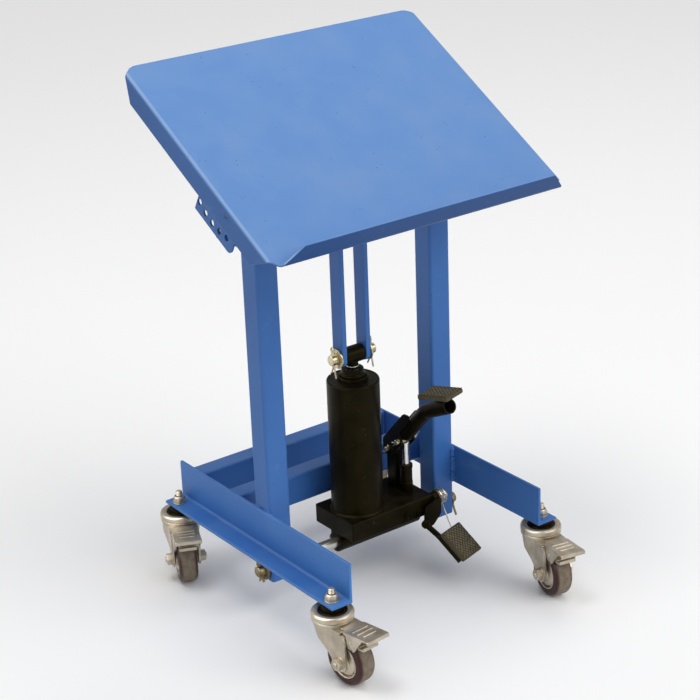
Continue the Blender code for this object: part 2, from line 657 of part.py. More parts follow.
def make_top(tilt_frame):
    """The folded sheet: side flanges turned down, front lip turned up, corners rounded."""
    half_x = TOP_WIDTH / 2 - BEND_RADIUS
    front = -TOP_DEPTH / 2 + BEND_RADIUS
    back = TOP_DEPTH / 2
    build = bmesh.new()
    bmesh.ops.create_grid(build, x_segments=1, y_segments=1, size=1.0)
    for vert in build.verts:
        vert.co = (math.copysign(half_x, vert.co.x), front if vert.co.y < 0 else back, PIVOT_DROP)
    bmesh.ops.bevel(
        build, geom=list(build.verts), affect="VERTICES", offset=TOP_CORNER_RADIUS,
        offset_type="OFFSET", segments=CORNER_STEPS, profile=0.5, material=-1)

    def straight(axis, value):
        edges = []
        for edge in build.edges:
            if all(abs(vert.co[axis] - value) < 1e-5 for vert in edge.verts):
                edges.append(edge)
        return edges

    low_bend = PIVOT_DROP - BEND_RADIUS
    high_bend = PIVOT_DROP + BEND_RADIUS
    quarter = math.pi / 2
    flange = SIDE_FLANGE_DEPTH - BEND_RADIUS
    lip = FRONT_LIP_HEIGHT - BEND_RADIUS
    fold(build, straight(0, half_x), (half_x, 0.0, low_bend), (0, 1, 0), quarter, (0, 0, -flange), flange)
    fold(build, straight(0, -half_x), (-half_x, 0.0, low_bend), (0, 1, 0), -quarter, (0, 0, -flange), flange)
    fold(build, straight(1, front), (0.0, front, high_bend), (1, 0, 0), -quarter, (0, 0, lip), lip)
    bmesh.ops.recalc_face_normals(build, faces=build.faces)
    top = piece("tilt_top", mesh_from(build), BLUE_PAINT, tilt_frame, smooth=True)
    sheet = top.modifiers.new("sheet", "SOLIDIFY")
    sheet.thickness = TOP_SHEET
    sheet.offset = -1.0
    sheet.use_even_offset = True

    foot = -SECTOR_HOLE_CIRCLE - SECTOR_EDGE
    ceiling = PIVOT_DROP - TOP_SHEET - SEAT_GAP
    corner = (-SECTOR_FRONT + SECTOR_CORNER_RADIUS, foot + SECTOR_CORNER_RADIUS)
    outline = arc(corner, SECTOR_CORNER_RADIUS, 180, 270)
    outline += [(SECTOR_BACK, foot), (SECTOR_BACK, ceiling), (-SECTOR_FRONT, ceiling)]
    for name, side in (("left", -1), ("right", 1)):
        low, high = sorted((side * SECTOR_INNER_X, side * SECTOR_OUTER_X))
        sector = piece(f"{name}_sector", plate(outline, "YZ", low, high), BLUE_PAINT, tilt_frame)
        ends = (low - SECTOR_THICKNESS, high + SECTOR_THICKNESS)
        cut(sector, rod("X", PIVOT_RADIUS + PIN_CLEARANCE, *ends, sides=SIDES_SMALL))
        for number in range(TILT_HOLE_COUNT):
            angle = math.radians(TILT_STEP_DEGREES * (number - (TILT_HOLE_COUNT - 1) / 2))
            at = (-SECTOR_HOLE_CIRCLE * math.sin(angle), -SECTOR_HOLE_CIRCLE * math.cos(angle))
            cut(sector, rod("X", SECTOR_HOLE_RADIUS, *ends, at, SIDES_SMALL))


def make_pump(lever_frame, plunger_frame):
    """Barrel, plunger, fulcrum and the foot lever; the lever is drawn from its own pivot."""
    foot = BLOCK_TOP_Z + SEAT_GAP
    at = (PUMP_X, BARREL_Y)
    barrel = piece("pump_barrel", rod("Z", BARREL_RADIUS, foot, BARREL_TOP_Z, at), BLACK_PAINT, smooth=True)
    bore_foot = BARREL_TOP_Z - BARREL_BORE_DEPTH
    cut(barrel, rod("Z", PLUNGER_RADIUS + PIN_CLEARANCE, bore_foot, BARREL_TOP_Z + BARREL_RADIUS, at))

    post_half = FULCRUM_WIDTH / 2
    outline = [(FULCRUM_Y - FULCRUM_RADIUS, foot), (FULCRUM_Y + FULCRUM_RADIUS, foot)]
    outline += arc((FULCRUM_Y, FULCRUM_Z), FULCRUM_RADIUS, 0, 180)
    post = piece(
        "fulcrum_post", plate(outline, "YZ", PUMP_X - post_half, PUMP_X + post_half), BLACK_PAINT)
    pin_at = (FULCRUM_Y, FULCRUM_Z)
    cut(post, rod("X", FULCRUM_PIN_RADIUS + PIN_CLEARANCE, PUMP_X - 2 * post_half, PUMP_X + 2 * post_half, pin_at))
    pin_half = FULCRUM_PIN_LENGTH / 2
    pin = rod("X", FULCRUM_PIN_RADIUS, PUMP_X - pin_half, PUMP_X + pin_half, pin_at, SIDES_SMALL)
    piece("fulcrum_pin", pin, BRIGHT_ZINC, smooth=True)

    push_y = BARREL_Y - FULCRUM_Y
    plunger_top = FULCRUM_Z + PLUNGER_PIN_RISE - PLUNGER_PIN_RADIUS - SEAT_GAP
    plunger_foot = bore_foot + PLUNGER_STROKE + SEAT_GAP
    plunger = rod("Z", PLUNGER_RADIUS, plunger_foot - BARREL_TOP_Z, plunger_top - BARREL_TOP_Z, sides=SIDES_SMALL)
    piece("pump_plunger", plunger, CHROME, plunger_frame, smooth=True)

    bend = Vector((LEVER_BEND_Y - FULCRUM_Y, LEVER_BEND_Z - FULCRUM_Z))
    end = Vector((LEVER_END_Y - FULCRUM_Y, LEVER_END_Z - FULCRUM_Z))
    along = bend.normalized()
    across = Vector((-along.y, along.x))
    back = -LEVER_CHEEK_BACK
    front = LEVER_CHEEK_FRONT
    slant = LEVER_CHEEK_BACK - LEVER_TUBE_RADIUS
    shape = [
        (LEVER_CHEEK_LENGTH, back), (LEVER_CHEEK_LENGTH + slant, back + slant),
        (LEVER_CHEEK_LENGTH - front, front),
    ]
    shape += [(-across_eye, along_eye) for along_eye, across_eye in arc((0.0, 0.0), front, -30, 90)]
    shape.append((0.0, back))
    corners = [tuple(along * distance + across * offset) for distance, offset in shape]
    inner = LEVER_INNER_WIDTH / 2
    outer = inner + LEVER_CHEEK
    lever = piece("pump_lever", plate(corners, "YZ", inner, outer), BLACK_PAINT, lever_frame)
    path = rounded_path(in_plane(along * LEVER_TUBE_START), in_plane(bend), in_plane(end), LEVER_BEND_RADIUS)
    outward = in_plane((end - bend).normalized())
    tube = open_end(
        round_bar(path, LEVER_TUBE_RADIUS, 4), in_plane(end), outward, LEVER_TUBE_WALL, LEVER_BORE_DEPTH)
    cross_pin = rod("X", PLUNGER_PIN_RADIUS, -inner - LEVER_CHEEK / 2, inner + LEVER_CHEEK / 2,
                    (push_y, PLUNGER_PIN_RISE), SIDES_SMALL)
    join(lever, plate(corners, "YZ", -outer, -inner))
    cut(lever, rod("X", FULCRUM_PIN_RADIUS + PIN_CLEARANCE, -2 * outer, 2 * outer, sides=SIDES_SMALL))
    join(lever, tube, cross_pin)
    run = (end - bend).normalized()
    lift = Vector((run.y, -run.x))
    contact = end + lift * LEVER_TUBE_RADIUS
    slope = math.tan(math.radians(PUMP_PAD_SLOPE_DEGREES)) * math.cos(math.radians(PEDAL_YAW_DEGREES))

    def under_pad(y):
        return contact.y + 2 * SEAT_GAP + slope * (y - contact.x)

    def on_axis(y):
        return end.y + (y - end.x) * run.y / run.x

    pad_y = PUMP_PAD_Y - FULCRUM_Y
    seat_front = contact.x + LEVER_TUBE_WALL
    seat_back = seat_front + PAD_SEAT_LENGTH
    seat_foot = LEVER_TUBE_RADIUS - LEVER_TUBE_WALL * PAD_SEAT_SINK
    seat = [
        (seat_front, on_axis(seat_front) + seat_foot), (seat_back, on_axis(seat_back) + seat_foot),
        (seat_back, under_pad(seat_back) - 2 * SEAT_GAP), (seat_front, under_pad(seat_front) - 2 * SEAT_GAP),
    ]
    join(lever, plate(seat, "YZ", -PAD_SEAT_WIDTH / 2, PAD_SEAT_WIDTH / 2))

    thickness = PEDAL_THICKNESS / math.cos(math.radians(PUMP_PAD_SLOPE_DEGREES))
    place = pad_place((0.0, pad_y, under_pad(pad_y) + thickness), PUMP_PAD_SLOPE_DEGREES)
    make_pad("pump_pad", PUMP_PAD_WIDTH, PUMP_PAD_LENGTH, place, lever_frame)


def pad_place(centre, slope_degrees):
    """The frame of a foot pad: its origin is the middle of the tread, a positive slope drops the front."""
    yaw = Matrix.Rotation(math.radians(PEDAL_YAW_DEGREES), 4, "Z")
    return Matrix.Translation(centre) @ yaw @ Matrix.Rotation(math.radians(slope_degrees), 4, "X")


def make_pad(name, width, length, place, frame):
    mesh = box((-width / 2, -length / 2, -PEDAL_THICKNESS), (width / 2, length / 2, 0.0))
    mesh.transform(place)
    return soften(piece(name, mesh, PEDAL_RUBBER, frame), PEDAL_EDGE)


def in_plane(point):
    return Vector((0.0, point[0], point[1]))


def rounded_path(start, corner, end, radius, steps=4):
    """Two straight runs joined by an arc of the given radius."""
    arriving = (corner - start).normalized()
    leaving = (end - corner).normalized()
    turn = arriving.angle(leaving)
    first = corner - arriving * radius * math.tan(turn / 2)
    centre = corner + (leaving - arriving).normalized() * radius / math.cos(turn / 2)
    axis = arriving.cross(leaving).normalized()
    points = [start]
    for step in range(steps + 1):
        points.append(centre + Matrix.Rotation(turn * step / steps, 3, axis) @ (first - centre))
    return points + [end]


def round_bar(points, radius, roundness=2):
    """A round bar along a path, closed at both ends."""
    curve = bpy.data.curves.new("bar", "CURVE")
    curve.dimensions = "3D"
    curve.bevel_depth = radius
    curve.bevel_resolution = roundness
    curve.use_fill_caps = True
    line = curve.splines.new("POLY")
    line.points.add(len(points) - 1)
    for point, place in zip(line.points, points):
        point.co = (*place, 1.0)
    source = bpy.data.objects.new("bar", curve)
    bpy.context.scene.collection.objects.link(source)
    graph = bpy.context.evaluated_depsgraph_get()
    mesh = bpy.data.meshes.new_from_object(source.evaluated_get(graph))
    bpy.data.objects.remove(source, do_unlink=True)
    build = bmesh.new()
    build.from_mesh(mesh)
    bmesh.ops.remove_doubles(build, verts=build.verts, dist=0.00001)
    bmesh.ops.recalc_face_normals(build, faces=build.faces)
    return mesh_from(build)


def open_end(mesh, end, outward, wall, depth):
    """Sinks a blind bore into a bar's end, leaving a wall round it."""
    build = bmesh.new()
    build.from_mesh(mesh)
    caps = []
    for face in build.faces:
        on_end = abs((face.calc_center_median() - end).dot(outward)) < wall
        if on_end and face.normal.dot(outward) > 0.99:
            caps.append(face)
    cap = bmesh.ops.dissolve_faces(build, faces=caps)["region"][0]
    bmesh.ops.inset_individual(build, faces=[cap], thickness=wall, use_even_offset=True)
    bore = bmesh.ops.extrude_discrete_faces(build, faces=[cap])["faces"][0]
    bmesh.ops.translate(build, vec=-outward * depth, verts=bore.verts)
    bmesh.ops.recalc_face_normals(build, faces=build.faces)
    return mesh_from(build)


def make_release(release_frame):
    """A pedal on a pin at the block's right face; its plate presses the valve when stepped on."""
    pin_at = (RELEASE_PIN_Y, RELEASE_PIN_Z)
    pin_start = BLOCK_RIGHT_X + SEAT_GAP
    pin = rod("X", RELEASE_PIN_RADIUS, pin_start, pin_start + RELEASE_PIN_LENGTH, pin_at, SIDES_SMALL)
    piece("release_pin", pin, BRIGHT_ZINC, smooth=True)

    hub_start = pin_start + SLIDE_CLEARANCE
    hub_end = hub_start + RELEASE_HUB_LENGTH
    lever = piece(
        "release_lever", rod("X", RELEASE_HUB_RADIUS, hub_start, hub_end, sides=SIDES_SMALL),
        BLACK_PAINT, release_frame)
    plate_y = RELEASE_PLATE_Y - RELEASE_PIN_Y
    plate_front = plate_y - RELEASE_PLATE
    foot = RELEASE_PLATE_FOOT_Z - RELEASE_PIN_Z
    shoulder = RELEASE_PLATE_SHOULDER_Z - RELEASE_PIN_Z

    centre = (RELEASE_PAD_X, RELEASE_PAD_Y - RELEASE_PIN_Y, RELEASE_PAD_Z - RELEASE_PIN_Z)
    place = pad_place(centre, RELEASE_PAD_SLOPE_DEGREES)
    left = RELEASE_ROD_RADIUS - RELEASE_PAD_WIDTH / 2
    tray_top = -PEDAL_THICKNESS - SEAT_GAP
    depth = tray_top - RELEASE_ROD_RADIUS
    back = RELEASE_PAD_LENGTH / 2
    bend = place @ Vector((left, back, depth))
    tip = place @ Vector((left, PAD_TRAY_MARGIN - back, depth))
    root = Vector((bend.x, plate_y - RELEASE_PLATE / 2, RELEASE_ROD_Z - RELEASE_PIN_Z))
    bar = round_bar(rounded_path(root, bend, tip, RELEASE_BEND_RADIUS), RELEASE_ROD_RADIUS)
    tray = box(
        (left, PAD_TRAY_MARGIN - back, tray_top - PAD_TRAY),
        (RELEASE_PAD_WIDTH / 2 - PAD_TRAY_MARGIN, back - PAD_TRAY_MARGIN, tray_top))
    tray.transform(place)
    plate_left = bend.x - RELEASE_ROD_RADIUS
    outline = [
        (plate_left, foot),
        (hub_end - RELEASE_PLATE_CUT, foot),
        (hub_end, foot + RELEASE_PLATE_CUT),
        (hub_end, RELEASE_HUB_RADIUS / 2),
        (hub_start, RELEASE_HUB_RADIUS / 2),
        (plate_left, shoulder),
    ]
    strap = box((hub_start, plate_y - RELEASE_PLATE / 2, -RELEASE_HUB_RADIUS / 2),
                (hub_end, 0.0, RELEASE_HUB_RADIUS / 3))
    join(lever, strap, plate(outline, "XZ", plate_front, plate_y), bar, tray)
    cut(lever, rod("X", RELEASE_PIN_RADIUS + PIN_CLEARANCE, hub_start - RELEASE_HUB_RADIUS,
                   hub_end + RELEASE_HUB_RADIUS, sides=SIDES_SMALL))
    make_pad("release_pad", RELEASE_PAD_WIDTH, RELEASE_PAD_LENGTH, place, release_frame)


def make_stem(name, frame):
    """The fixed part of a caster: upper race, neck, threaded stem with its nut, king pin below."""
    seat = CASTER_HEIGHT - SEAT_GAP
    flange_top = CASTER_HEIGHT + ANGLE_SHEET + SEAT_GAP
    pin_head = CROWN_BOTTOM_Z - SEAT_GAP
    profile = [
        (0.0, flange_top + STEM_TOP),
        (STEM_RADIUS, flange_top + STEM_TOP),
        (STEM_RADIUS, seat),
        (NECK_RADIUS, seat),
        (NECK_RADIUS, RACE_TOP_Z - RACE_DISH_DEPTH),
        (RACE_DISH_RADIUS, RACE_TOP_Z - RACE_DISH_DEPTH),
        (RACE_DISH_RADIUS, RACE_TOP_Z),
        (CROWN_RADIUS, RACE_TOP_Z),
        (CROWN_RADIUS, RACE_BOTTOM_Z),
        (KING_PIN_RADIUS, RACE_BOTTOM_Z),
        (KING_PIN_RADIUS, pin_head),
        (KING_PIN_HEAD_RADIUS, pin_head),
        (KING_PIN_HEAD_RADIUS, pin_head - KING_PIN_HEAD_DEPTH),
        (0.0, pin_head - KING_PIN_HEAD_DEPTH),
    ]
    stem = turned(name, profile, ZINC, SIDES_MIDDLE, frame)
    return join(stem, rod("Z", NUT_RADIUS, flange_top, flange_top + NUT_HEIGHT, sides=HEX_SIDES))


def make_fork(name, frame):
    """Crown disc with a skirt bent round the back into two legs, which hold the axle and the brake pin."""
    crown_top = CROWN_BOTTOM_Z + CROWN_HEIGHT
    inner = FORK_INNER_WIDTH / 2
    outer = inner + FORK_SHEET
    leg_top = CROWN_BOTTOM_Z + 2 * SEAT_GAP
    axle = (CASTER_TRAIL, WHEEL_RADIUS)
    front = CASTER_TRAIL + FORK_EYE_RADIUS
    skirt = [(front, -outer)] + arc((0.0, 0.0), outer, 270, 90, 10) + [(front, outer), (front, inner)]
    skirt += arc((0.0, 0.0), inner, 90, 270, 10) + [(front, -inner)]
    heel_x = CASTER_TRAIL - FORK_EYE_RADIUS
    side_view = arc(axle, FORK_EYE_RADIUS, 200, 360)
    side_view += [(front, crown_top), (-CROWN_RADIUS, crown_top), (-CROWN_RADIUS, leg_top - FORK_HEEL_DROP)]
    side_view += arc((heel_x, leg_top - FORK_HEEL_DROP), heel_x + outer, 184, 232, 4)
    fork = piece(name, plate(skirt, "XY", axle[1] - 2 * FORK_EYE_RADIUS, leg_top), ZINC, frame)
    boolean(fork, plate(side_view, "XZ", -CROWN_RADIUS, CROWN_RADIUS), "INTERSECT")
    join(fork, rod("Z", CROWN_RADIUS, CROWN_BOTTOM_Z, crown_top, sides=SIDES_MIDDLE))
    middle = inner + FORK_SHEET / 2
    join(fork, rod("Y", BRAKE_PIN_RADIUS, -middle, middle, (BRAKE_PIN_U, BRAKE_PIN_Z), SIDES_SMALL))
    bore_foot = CROWN_BOTTOM_Z - CROWN_HEIGHT
    cut(fork, rod("Z", KING_PIN_RADIUS + PIN_CLEARANCE, bore_foot, crown_top + CROWN_HEIGHT, sides=SIDES_SMALL))
    return cut(fork, rod("Y", AXLE_RADIUS + PIN_CLEARANCE, -2 * outer, 2 * outer, axle, SIDES_SMALL))


def make_axle(name, frame):
    outer = FORK_INNER_WIDTH / 2 + FORK_SHEET + SEAT_GAP
    tip = outer + AXLE_HEAD_DEPTH
    at = (CASTER_TRAIL, WHEEL_RADIUS)
    axle = piece(name, rod("Y", AXLE_RADIUS, -tip, tip, at, SIDES_SMALL), BRIGHT_ZINC, frame)
    for side in (-1, 1):
        join(axle, rod("Y", AXLE_HEAD_RADIUS, *sorted((side * outer, side * tip)), at, HEX_SIDES))
    return axle


def make_wheel(hub_name, tyre_name, frame):
    """A dished hub and the tyre moulded round its rim, both turned about the axle."""
    half = TYRE_WIDTH / 2
    bore = AXLE_RADIUS + PIN_CLEARANCE
    boss = FORK_INNER_WIDTH / 2 - SLIDE_CLEARANCE
    dish = half - HUB_DISH
    rim = RIM_RADIUS - SEAT_GAP
    profile = [
        (bore, boss), (HUB_BOSS_RADIUS, boss), (HUB_BOSS_RADIUS, dish), (rim - HUB_DISH, dish), (rim, half),
        (rim, -half), (rim - HUB_DISH, -dish), (HUB_BOSS_RADIUS, -dish), (HUB_BOSS_RADIUS, -boss), (bore, -boss),
    ]
    turned(hub_name, profile, ZINC, SIDES_MIDDLE, frame, axis="Y", closed=True)
    corner = (WHEEL_RADIUS - TYRE_SHOULDER, half - TYRE_SHOULDER)
    profile = [(RIM_RADIUS, half)]
    for radius, height in reversed(arc(corner, TYRE_SHOULDER, 0, 90, 3)):
        profile.append((radius, height))
    for radius, height in arc((corner[0], -corner[1]), TYRE_SHOULDER, 0, -90, 3):
        profile.append((radius, height))
    profile.append((RIM_RADIUS, -half))
    turned(tyre_name, profile, TYRE_RUBBER, SIDES_LARGE, frame, axis="Y", closed=True)


def make_brake(name, frame):
    """A stepped-on plate with two cheeks round the fork's cross pin and a shoe over the tyre."""
    start = CROWN_RADIUS + 4 * SEAT_GAP - BRAKE_PIN_U
    tip = BRAKE_REACH - BRAKE_PIN_U
    heel_z = BRAKE_HEEL_Z - BRAKE_PIN_Z
    tip_z = BRAKE_TIP_Z - BRAKE_PIN_Z
    half = BRAKE_WIDTH / 2
    side_view = [
        (start, heel_z), (tip - BRAKE_SHEET, tip_z), (tip - BRAKE_SHEET, tip_z - BRAKE_LIP),
        (tip, tip_z - BRAKE_LIP), (tip, tip_z + BRAKE_SHEET), (start, heel_z + BRAKE_SHEET),
    ]
    brake = piece(name, plate(side_view, "XZ", -half, half), ZINC, frame)
    outer = FORK_INNER_WIDTH / 2 - SLIDE_CLEARANCE
    toe = BRAKE_CHEEK_TOE - BRAKE_PIN_U
    cheek = arc((0.0, 0.0), BRAKE_CHEEK_RADIUS, 180, 300)
    cheek += [(toe, heel_z - BRAKE_CHEEK_RADIUS), (toe, tip_z), (-BRAKE_CHEEK_RADIUS, heel_z + BRAKE_SHEET / 2)]
    for side in (-1, 1):
        join(brake, plate(cheek, "XZ", *sorted((side * outer, side * (outer - BRAKE_CHEEK)))))
    shoe_low = (BRAKE_SHOE_START - BRAKE_PIN_U, -BRAKE_SHOE_WIDTH / 2, BRAKE_SHOE_Z - BRAKE_PIN_Z)
    shoe_high = (BRAKE_SHOE_END - BRAKE_PIN_U, BRAKE_SHOE_WIDTH / 2, tip_z + BRAKE_SHEET / 4)
    join(brake, box(shoe_low, shoe_high))
    return cut(brake, rod("Y", BRAKE_PIN_RADIUS + PIN_CLEARANCE, -half, half, sides=SIDES_SMALL))


def make_casters():
    for corner, yaw in CASTER_YAW_DEGREES.items():
        x = CASTER_X if corner[1] == "r" else -CASTER_X
        y = -CASTER_Y if corner[0] == "f" else CASTER_Y
        swivel = body_frame(f"{corner}_swivel_axis", (x, y, 0.0), (0.0, 0.0, math.radians(yaw)))
        wheel = body_frame(f"{corner}_wheel_axis", (CASTER_TRAIL, 0.0, WHEEL_RADIUS), parent=swivel)
        brake = body_frame(f"{corner}_brake_axis", (BRAKE_PIN_U, 0.0, BRAKE_PIN_Z), parent=swivel)
        make_stem(f"{corner}_caster_stem", swivel)
        make_fork(f"{corner}_caster_fork", swivel)
        make_axle(f"{corner}_caster_axle", swivel)
        make_wheel(f"{corner}_wheel_hub", f"{corner}_wheel_tyre", wheel)
        make_brake(f"{corner}_brake_pedal", brake)


def main():
    lift = body_frame("lift_axis", (0.0, 0.0, 0.0))
    stage = body_frame("stage_axis", (0.0, 0.0, 0.0))
    tilt = body_frame("tilt_axis", (0.0, 0.0, PIVOT_HEIGHT), (math.radians(TILT_DEGREES), 0.0, 0.0), lift)
    lock = body_frame("lock_axis", (0.0, LOCK_PIN_Y, LOCK_PIN_Z), parent=lift)
    lever = body_frame("lever_axis", (PUMP_X, FULCRUM_Y, FULCRUM_Z))
    plunger = body_frame("plunger_axis", (PUMP_X, BARREL_Y, BARREL_TOP_Z))
    release = body_frame("release_axis", (0.0, RELEASE_PIN_Y, RELEASE_PIN_Z))
    make_base()
    make_pump_block()
    make_ram(stage, lift)
    make_lift(lift, lock)
    make_top(tilt)
    make_pump(lever, plunger)
    make_release(release)
    make_casters()


main()
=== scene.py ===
"""Looks of the tilting work table: finishes, rounded pieces, small hardware, studio and camera."""
import json
import math
import random

import bmesh
import bpy
from mathutils import Matrix, Vector


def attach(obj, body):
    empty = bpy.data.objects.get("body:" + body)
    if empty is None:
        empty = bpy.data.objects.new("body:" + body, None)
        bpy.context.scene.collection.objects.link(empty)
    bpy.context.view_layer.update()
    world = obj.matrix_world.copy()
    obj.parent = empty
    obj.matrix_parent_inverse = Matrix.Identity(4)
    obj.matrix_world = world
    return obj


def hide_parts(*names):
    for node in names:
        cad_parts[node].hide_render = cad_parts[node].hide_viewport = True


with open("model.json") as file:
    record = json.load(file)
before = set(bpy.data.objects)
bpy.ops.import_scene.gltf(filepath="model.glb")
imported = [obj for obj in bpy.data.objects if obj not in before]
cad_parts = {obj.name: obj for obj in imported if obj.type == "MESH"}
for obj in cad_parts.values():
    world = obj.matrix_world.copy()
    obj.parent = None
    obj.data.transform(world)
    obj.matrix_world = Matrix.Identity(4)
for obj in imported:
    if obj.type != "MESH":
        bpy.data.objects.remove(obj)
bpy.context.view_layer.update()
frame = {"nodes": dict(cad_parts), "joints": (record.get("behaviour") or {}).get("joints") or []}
joints = {joint["name"]: joint for joint in frame["joints"]}

ROUND_STEPS = 5
BIG_SIDES = 96
TURNED_SIDES = 64
SMALL_SIDES = 32
SHARP_ANGLE = math.radians(38)


# Shaders

class Tone:
    """A shader socket that takes part in Python sums."""

    def __init__(self, finish, socket):
        self.finish = finish
        self.socket = socket

    def sum(self, operation, first, second):
        return self.finish.node("ShaderNodeMath", {"operation": operation}, {0: first, 1: second})

    def __add__(self, other):
        return self.sum("ADD", self, other)

    def __rsub__(self, other):
        return self.sum("SUBTRACT", other, self)

    def __mul__(self, other):
        return self.sum("MULTIPLY", self, other)

    __radd__ = __add__
    __rmul__ = __mul__


class Finish:
    """One material: plain values on its shader, and nodes for what changes over the surface."""

    def __init__(self, name, plain):
        self.material = bpy.data.materials.new(name)
        self.material.use_nodes = True
        self.tree = self.material.node_tree
        self.shader = self.tree.nodes["Principled BSDF"]
        for socket, value in plain.items():
            self.shader.inputs[socket].default_value = value
        self.place = self.node("ShaderNodeTexCoord", output="Object")

    def node(self, kind, settings=(), inputs=(), output=0):
        made = self.tree.nodes.new(kind)
        for name, value in dict(settings).items():
            setattr(made, name, value)
        for key, value in dict(inputs).items():
            self.feed(made.inputs[key], value)
        return Tone(self, made.outputs[output])

    def feed(self, socket, value):
        if isinstance(value, Tone):
            self.tree.links.new(value.socket, socket)
        else:
            socket.default_value = value

    def noise(self, scale, detail=2.0, roughness=0.5, place=None):
        inputs = {"Vector": place or self.place, "Scale": scale, "Detail": detail, "Roughness": roughness}
        return self.node("ShaderNodeTexNoise", {}, inputs)

    def stretched(self, scale):
        return self.node("ShaderNodeMapping", {}, {"Vector": self.place, "Scale": scale})

    def step(self, value, low, high):
        """0 below low, 1 above high, smooth between."""
        settings = {"interpolation_type": "SMOOTHSTEP"}
        return self.node("ShaderNodeMapRange", settings, {"Value": value, "From Min": low, "From Max": high})

    def grit(self, scale, size):
        """Small round spots, one at most in each cell of a jittered lattice, a few cells filled."""
        inputs = {"Vector": self.place, "Scale": scale}
        near = self.node("ShaderNodeTexVoronoi", {}, inputs)
        chosen = self.step(self.noise(scale * 0.37, 1.0), 0.6, 0.66)
        return (1 - self.step(near, size * 0.5, size)) * chosen

    def facing(self, axis, low, high):
        """0 to 1 as the normal's part along an axis goes from low to high."""
        normal = self.node("ShaderNodeNewGeometry", output="Normal")
        return self.step(self.node("ShaderNodeSeparateXYZ", {}, {0: normal}, axis), low, high)

    def near_point(self, point, radius):
        """1 at a point of the piece, fading out at a distance."""
        settings = {"operation": "DISTANCE"}
        distance = self.node("ShaderNodeVectorMath", settings, {0: self.place, 1: point}, "Value")
        return 1 - self.step(distance, 0.0, radius)

    def mix(self, amount, first, second):
        colours = {0: amount, 6: first, 7: second}
        return self.node("ShaderNodeMix", {"data_type": "RGBA"}, colours, 2)

    def set(self, socket, value):
        self.feed(self.shader.inputs[socket], value)

    def bump(self, height, depth):
        inputs = {"Height": height, "Strength": 1.0, "Distance": depth}
        self.set("Normal", self.node("ShaderNodeBump", {}, inputs, "Normal"))


def shade(red, green, blue):
    return (red, green, blue, 1.0)


def powder_coat(name, deep, light, sheen, painted_sky_reflection=None, painted_underside_shade=None, painted_fold_highlight=None, smudges=()):
    """Semi-gloss blue powder coat: orange peel, cloudy tone, grit and dust, and optional painted light: a
    painted reflection on faces that face up, painted shade on faces that face down, and a painted highlight
    along folds that face left.
    """
    coat = Finish(name, {"IOR": 1.5, "Specular IOR Level": sheen})
    cloud = coat.noise(5.5, 3.0)
    scuff = coat.step(coat.noise(31.0, 6.0, 0.62, coat.stretched((1.0, 0.35, 1.0))), 0.58, 0.76)
    grit = coat.grit(120.0, 0.16)
    dust = coat.facing("Z", 0.25, 0.95) * coat.step(coat.noise(14.0, 4.0), 0.35, 0.75)
    tone = coat.mix(coat.step(cloud, 0.3, 0.7), deep, light)
    # Painted reflection: faces that face up are paler and greyer, as the sky's sheen makes them look.
    if painted_sky_reflection:
        tone = coat.mix(coat.facing("Z", 0.35, 0.8), tone, painted_sky_reflection)
    # Painted shade: faces that face down, and partly those that face sideways, are deeper, as shade falls on
    # them.
    if painted_underside_shade:
        tone = coat.mix(coat.facing("Z", -0.48, 0.32), painted_underside_shade, tone)
    # Painted highlight: a pale strip along folds that face left, where a glossy highlight falls.
    if painted_fold_highlight:
        bend = (1 - coat.facing("X", -0.66, -0.06)) * coat.facing("X", -0.97, -0.72)
        tone = coat.mix(bend * 0.7, tone, painted_fold_highlight)
    tone = coat.mix(scuff * 0.22, tone, shade(0.16, 0.29, 0.52))
    tone = coat.mix(dust * 0.1, tone, shade(0.4, 0.46, 0.55))
    tone = coat.mix(grit * 0.55, tone, shade(0.02, 0.035, 0.07))
    for point, radius, amount in smudges:
        mark = coat.near_point(point, radius) * coat.step(coat.noise(190.0, 4.0), 0.38, 0.62)
        tone = coat.mix(mark * amount, tone, shade(0.02, 0.03, 0.05))
    coat.set("Base Color", tone)
    coat.set("Roughness", 0.34 + 0.1 * cloud + 0.16 * scuff + 0.1 * dust)
    coat.bump(coat.noise(520.0, 1.0), 0.00012)
    return coat.material


def black_enamel():
    """Brushed-on satin black with a brown cast, runs along it and dust on what faces up."""
    tint = {"IOR": 1.5, "Specular IOR Level": 0.1, "Specular Tint": shade(1.0, 0.85, 0.42)}
    coat = Finish("black_enamel", tint)
    cloud = coat.noise(26.0, 4.0)
    runs = coat.noise(60.0, 3.0, 0.5, coat.stretched((1.0, 1.0, 0.12)))
    dust = coat.facing("Z", 0.45, 1.0) * coat.step(coat.noise(70.0, 5.0), 0.35, 0.75)
    grit = coat.grit(210.0, 0.2)
    tone = coat.mix(coat.step(cloud, 0.3, 0.7), shade(0.0026, 0.0018, 0.0007), shade(0.0085, 0.0062, 0.0018))
    tone = coat.mix(dust * 0.22, tone, shade(0.05, 0.042, 0.024))
    tone = coat.mix(grit * 0.5, tone, shade(0.1, 0.09, 0.07))
    coat.set("Base Color", tone)
    coat.set("Roughness", 0.3 + 0.16 * runs + 0.16 * dust)
    coat.bump(runs + 0.5 * coat.noise(420.0, 2.0), 0.00016)
    return coat.material


def plated(name, dark, bright, roughness, patch=34.0, metallic=1.0):
    """Zinc or chrome plate: cloudy patches, fine draw lines and a few dull freckles."""
    plate = Finish(name, {"Metallic": metallic})
    cloud = plate.noise(patch, 5.0, 0.6)
    lines = plate.noise(240.0, 3.0, 0.6, plate.stretched((1.0, 1.0, 0.1)))
    freckle = plate.grit(330.0, 0.22)
    tone = plate.mix(plate.step(cloud, 0.3, 0.72), dark, bright)
    tone = plate.mix(freckle * 0.6, tone, shade(0.1, 0.085, 0.06))
    plate.set("Base Color", tone)
    plate.set("Roughness", roughness + 0.14 * cloud + 0.07 * lines + 0.15 * freckle)
    plate.bump(lines + 0.6 * cloud, 0.00006)
    return plate.material


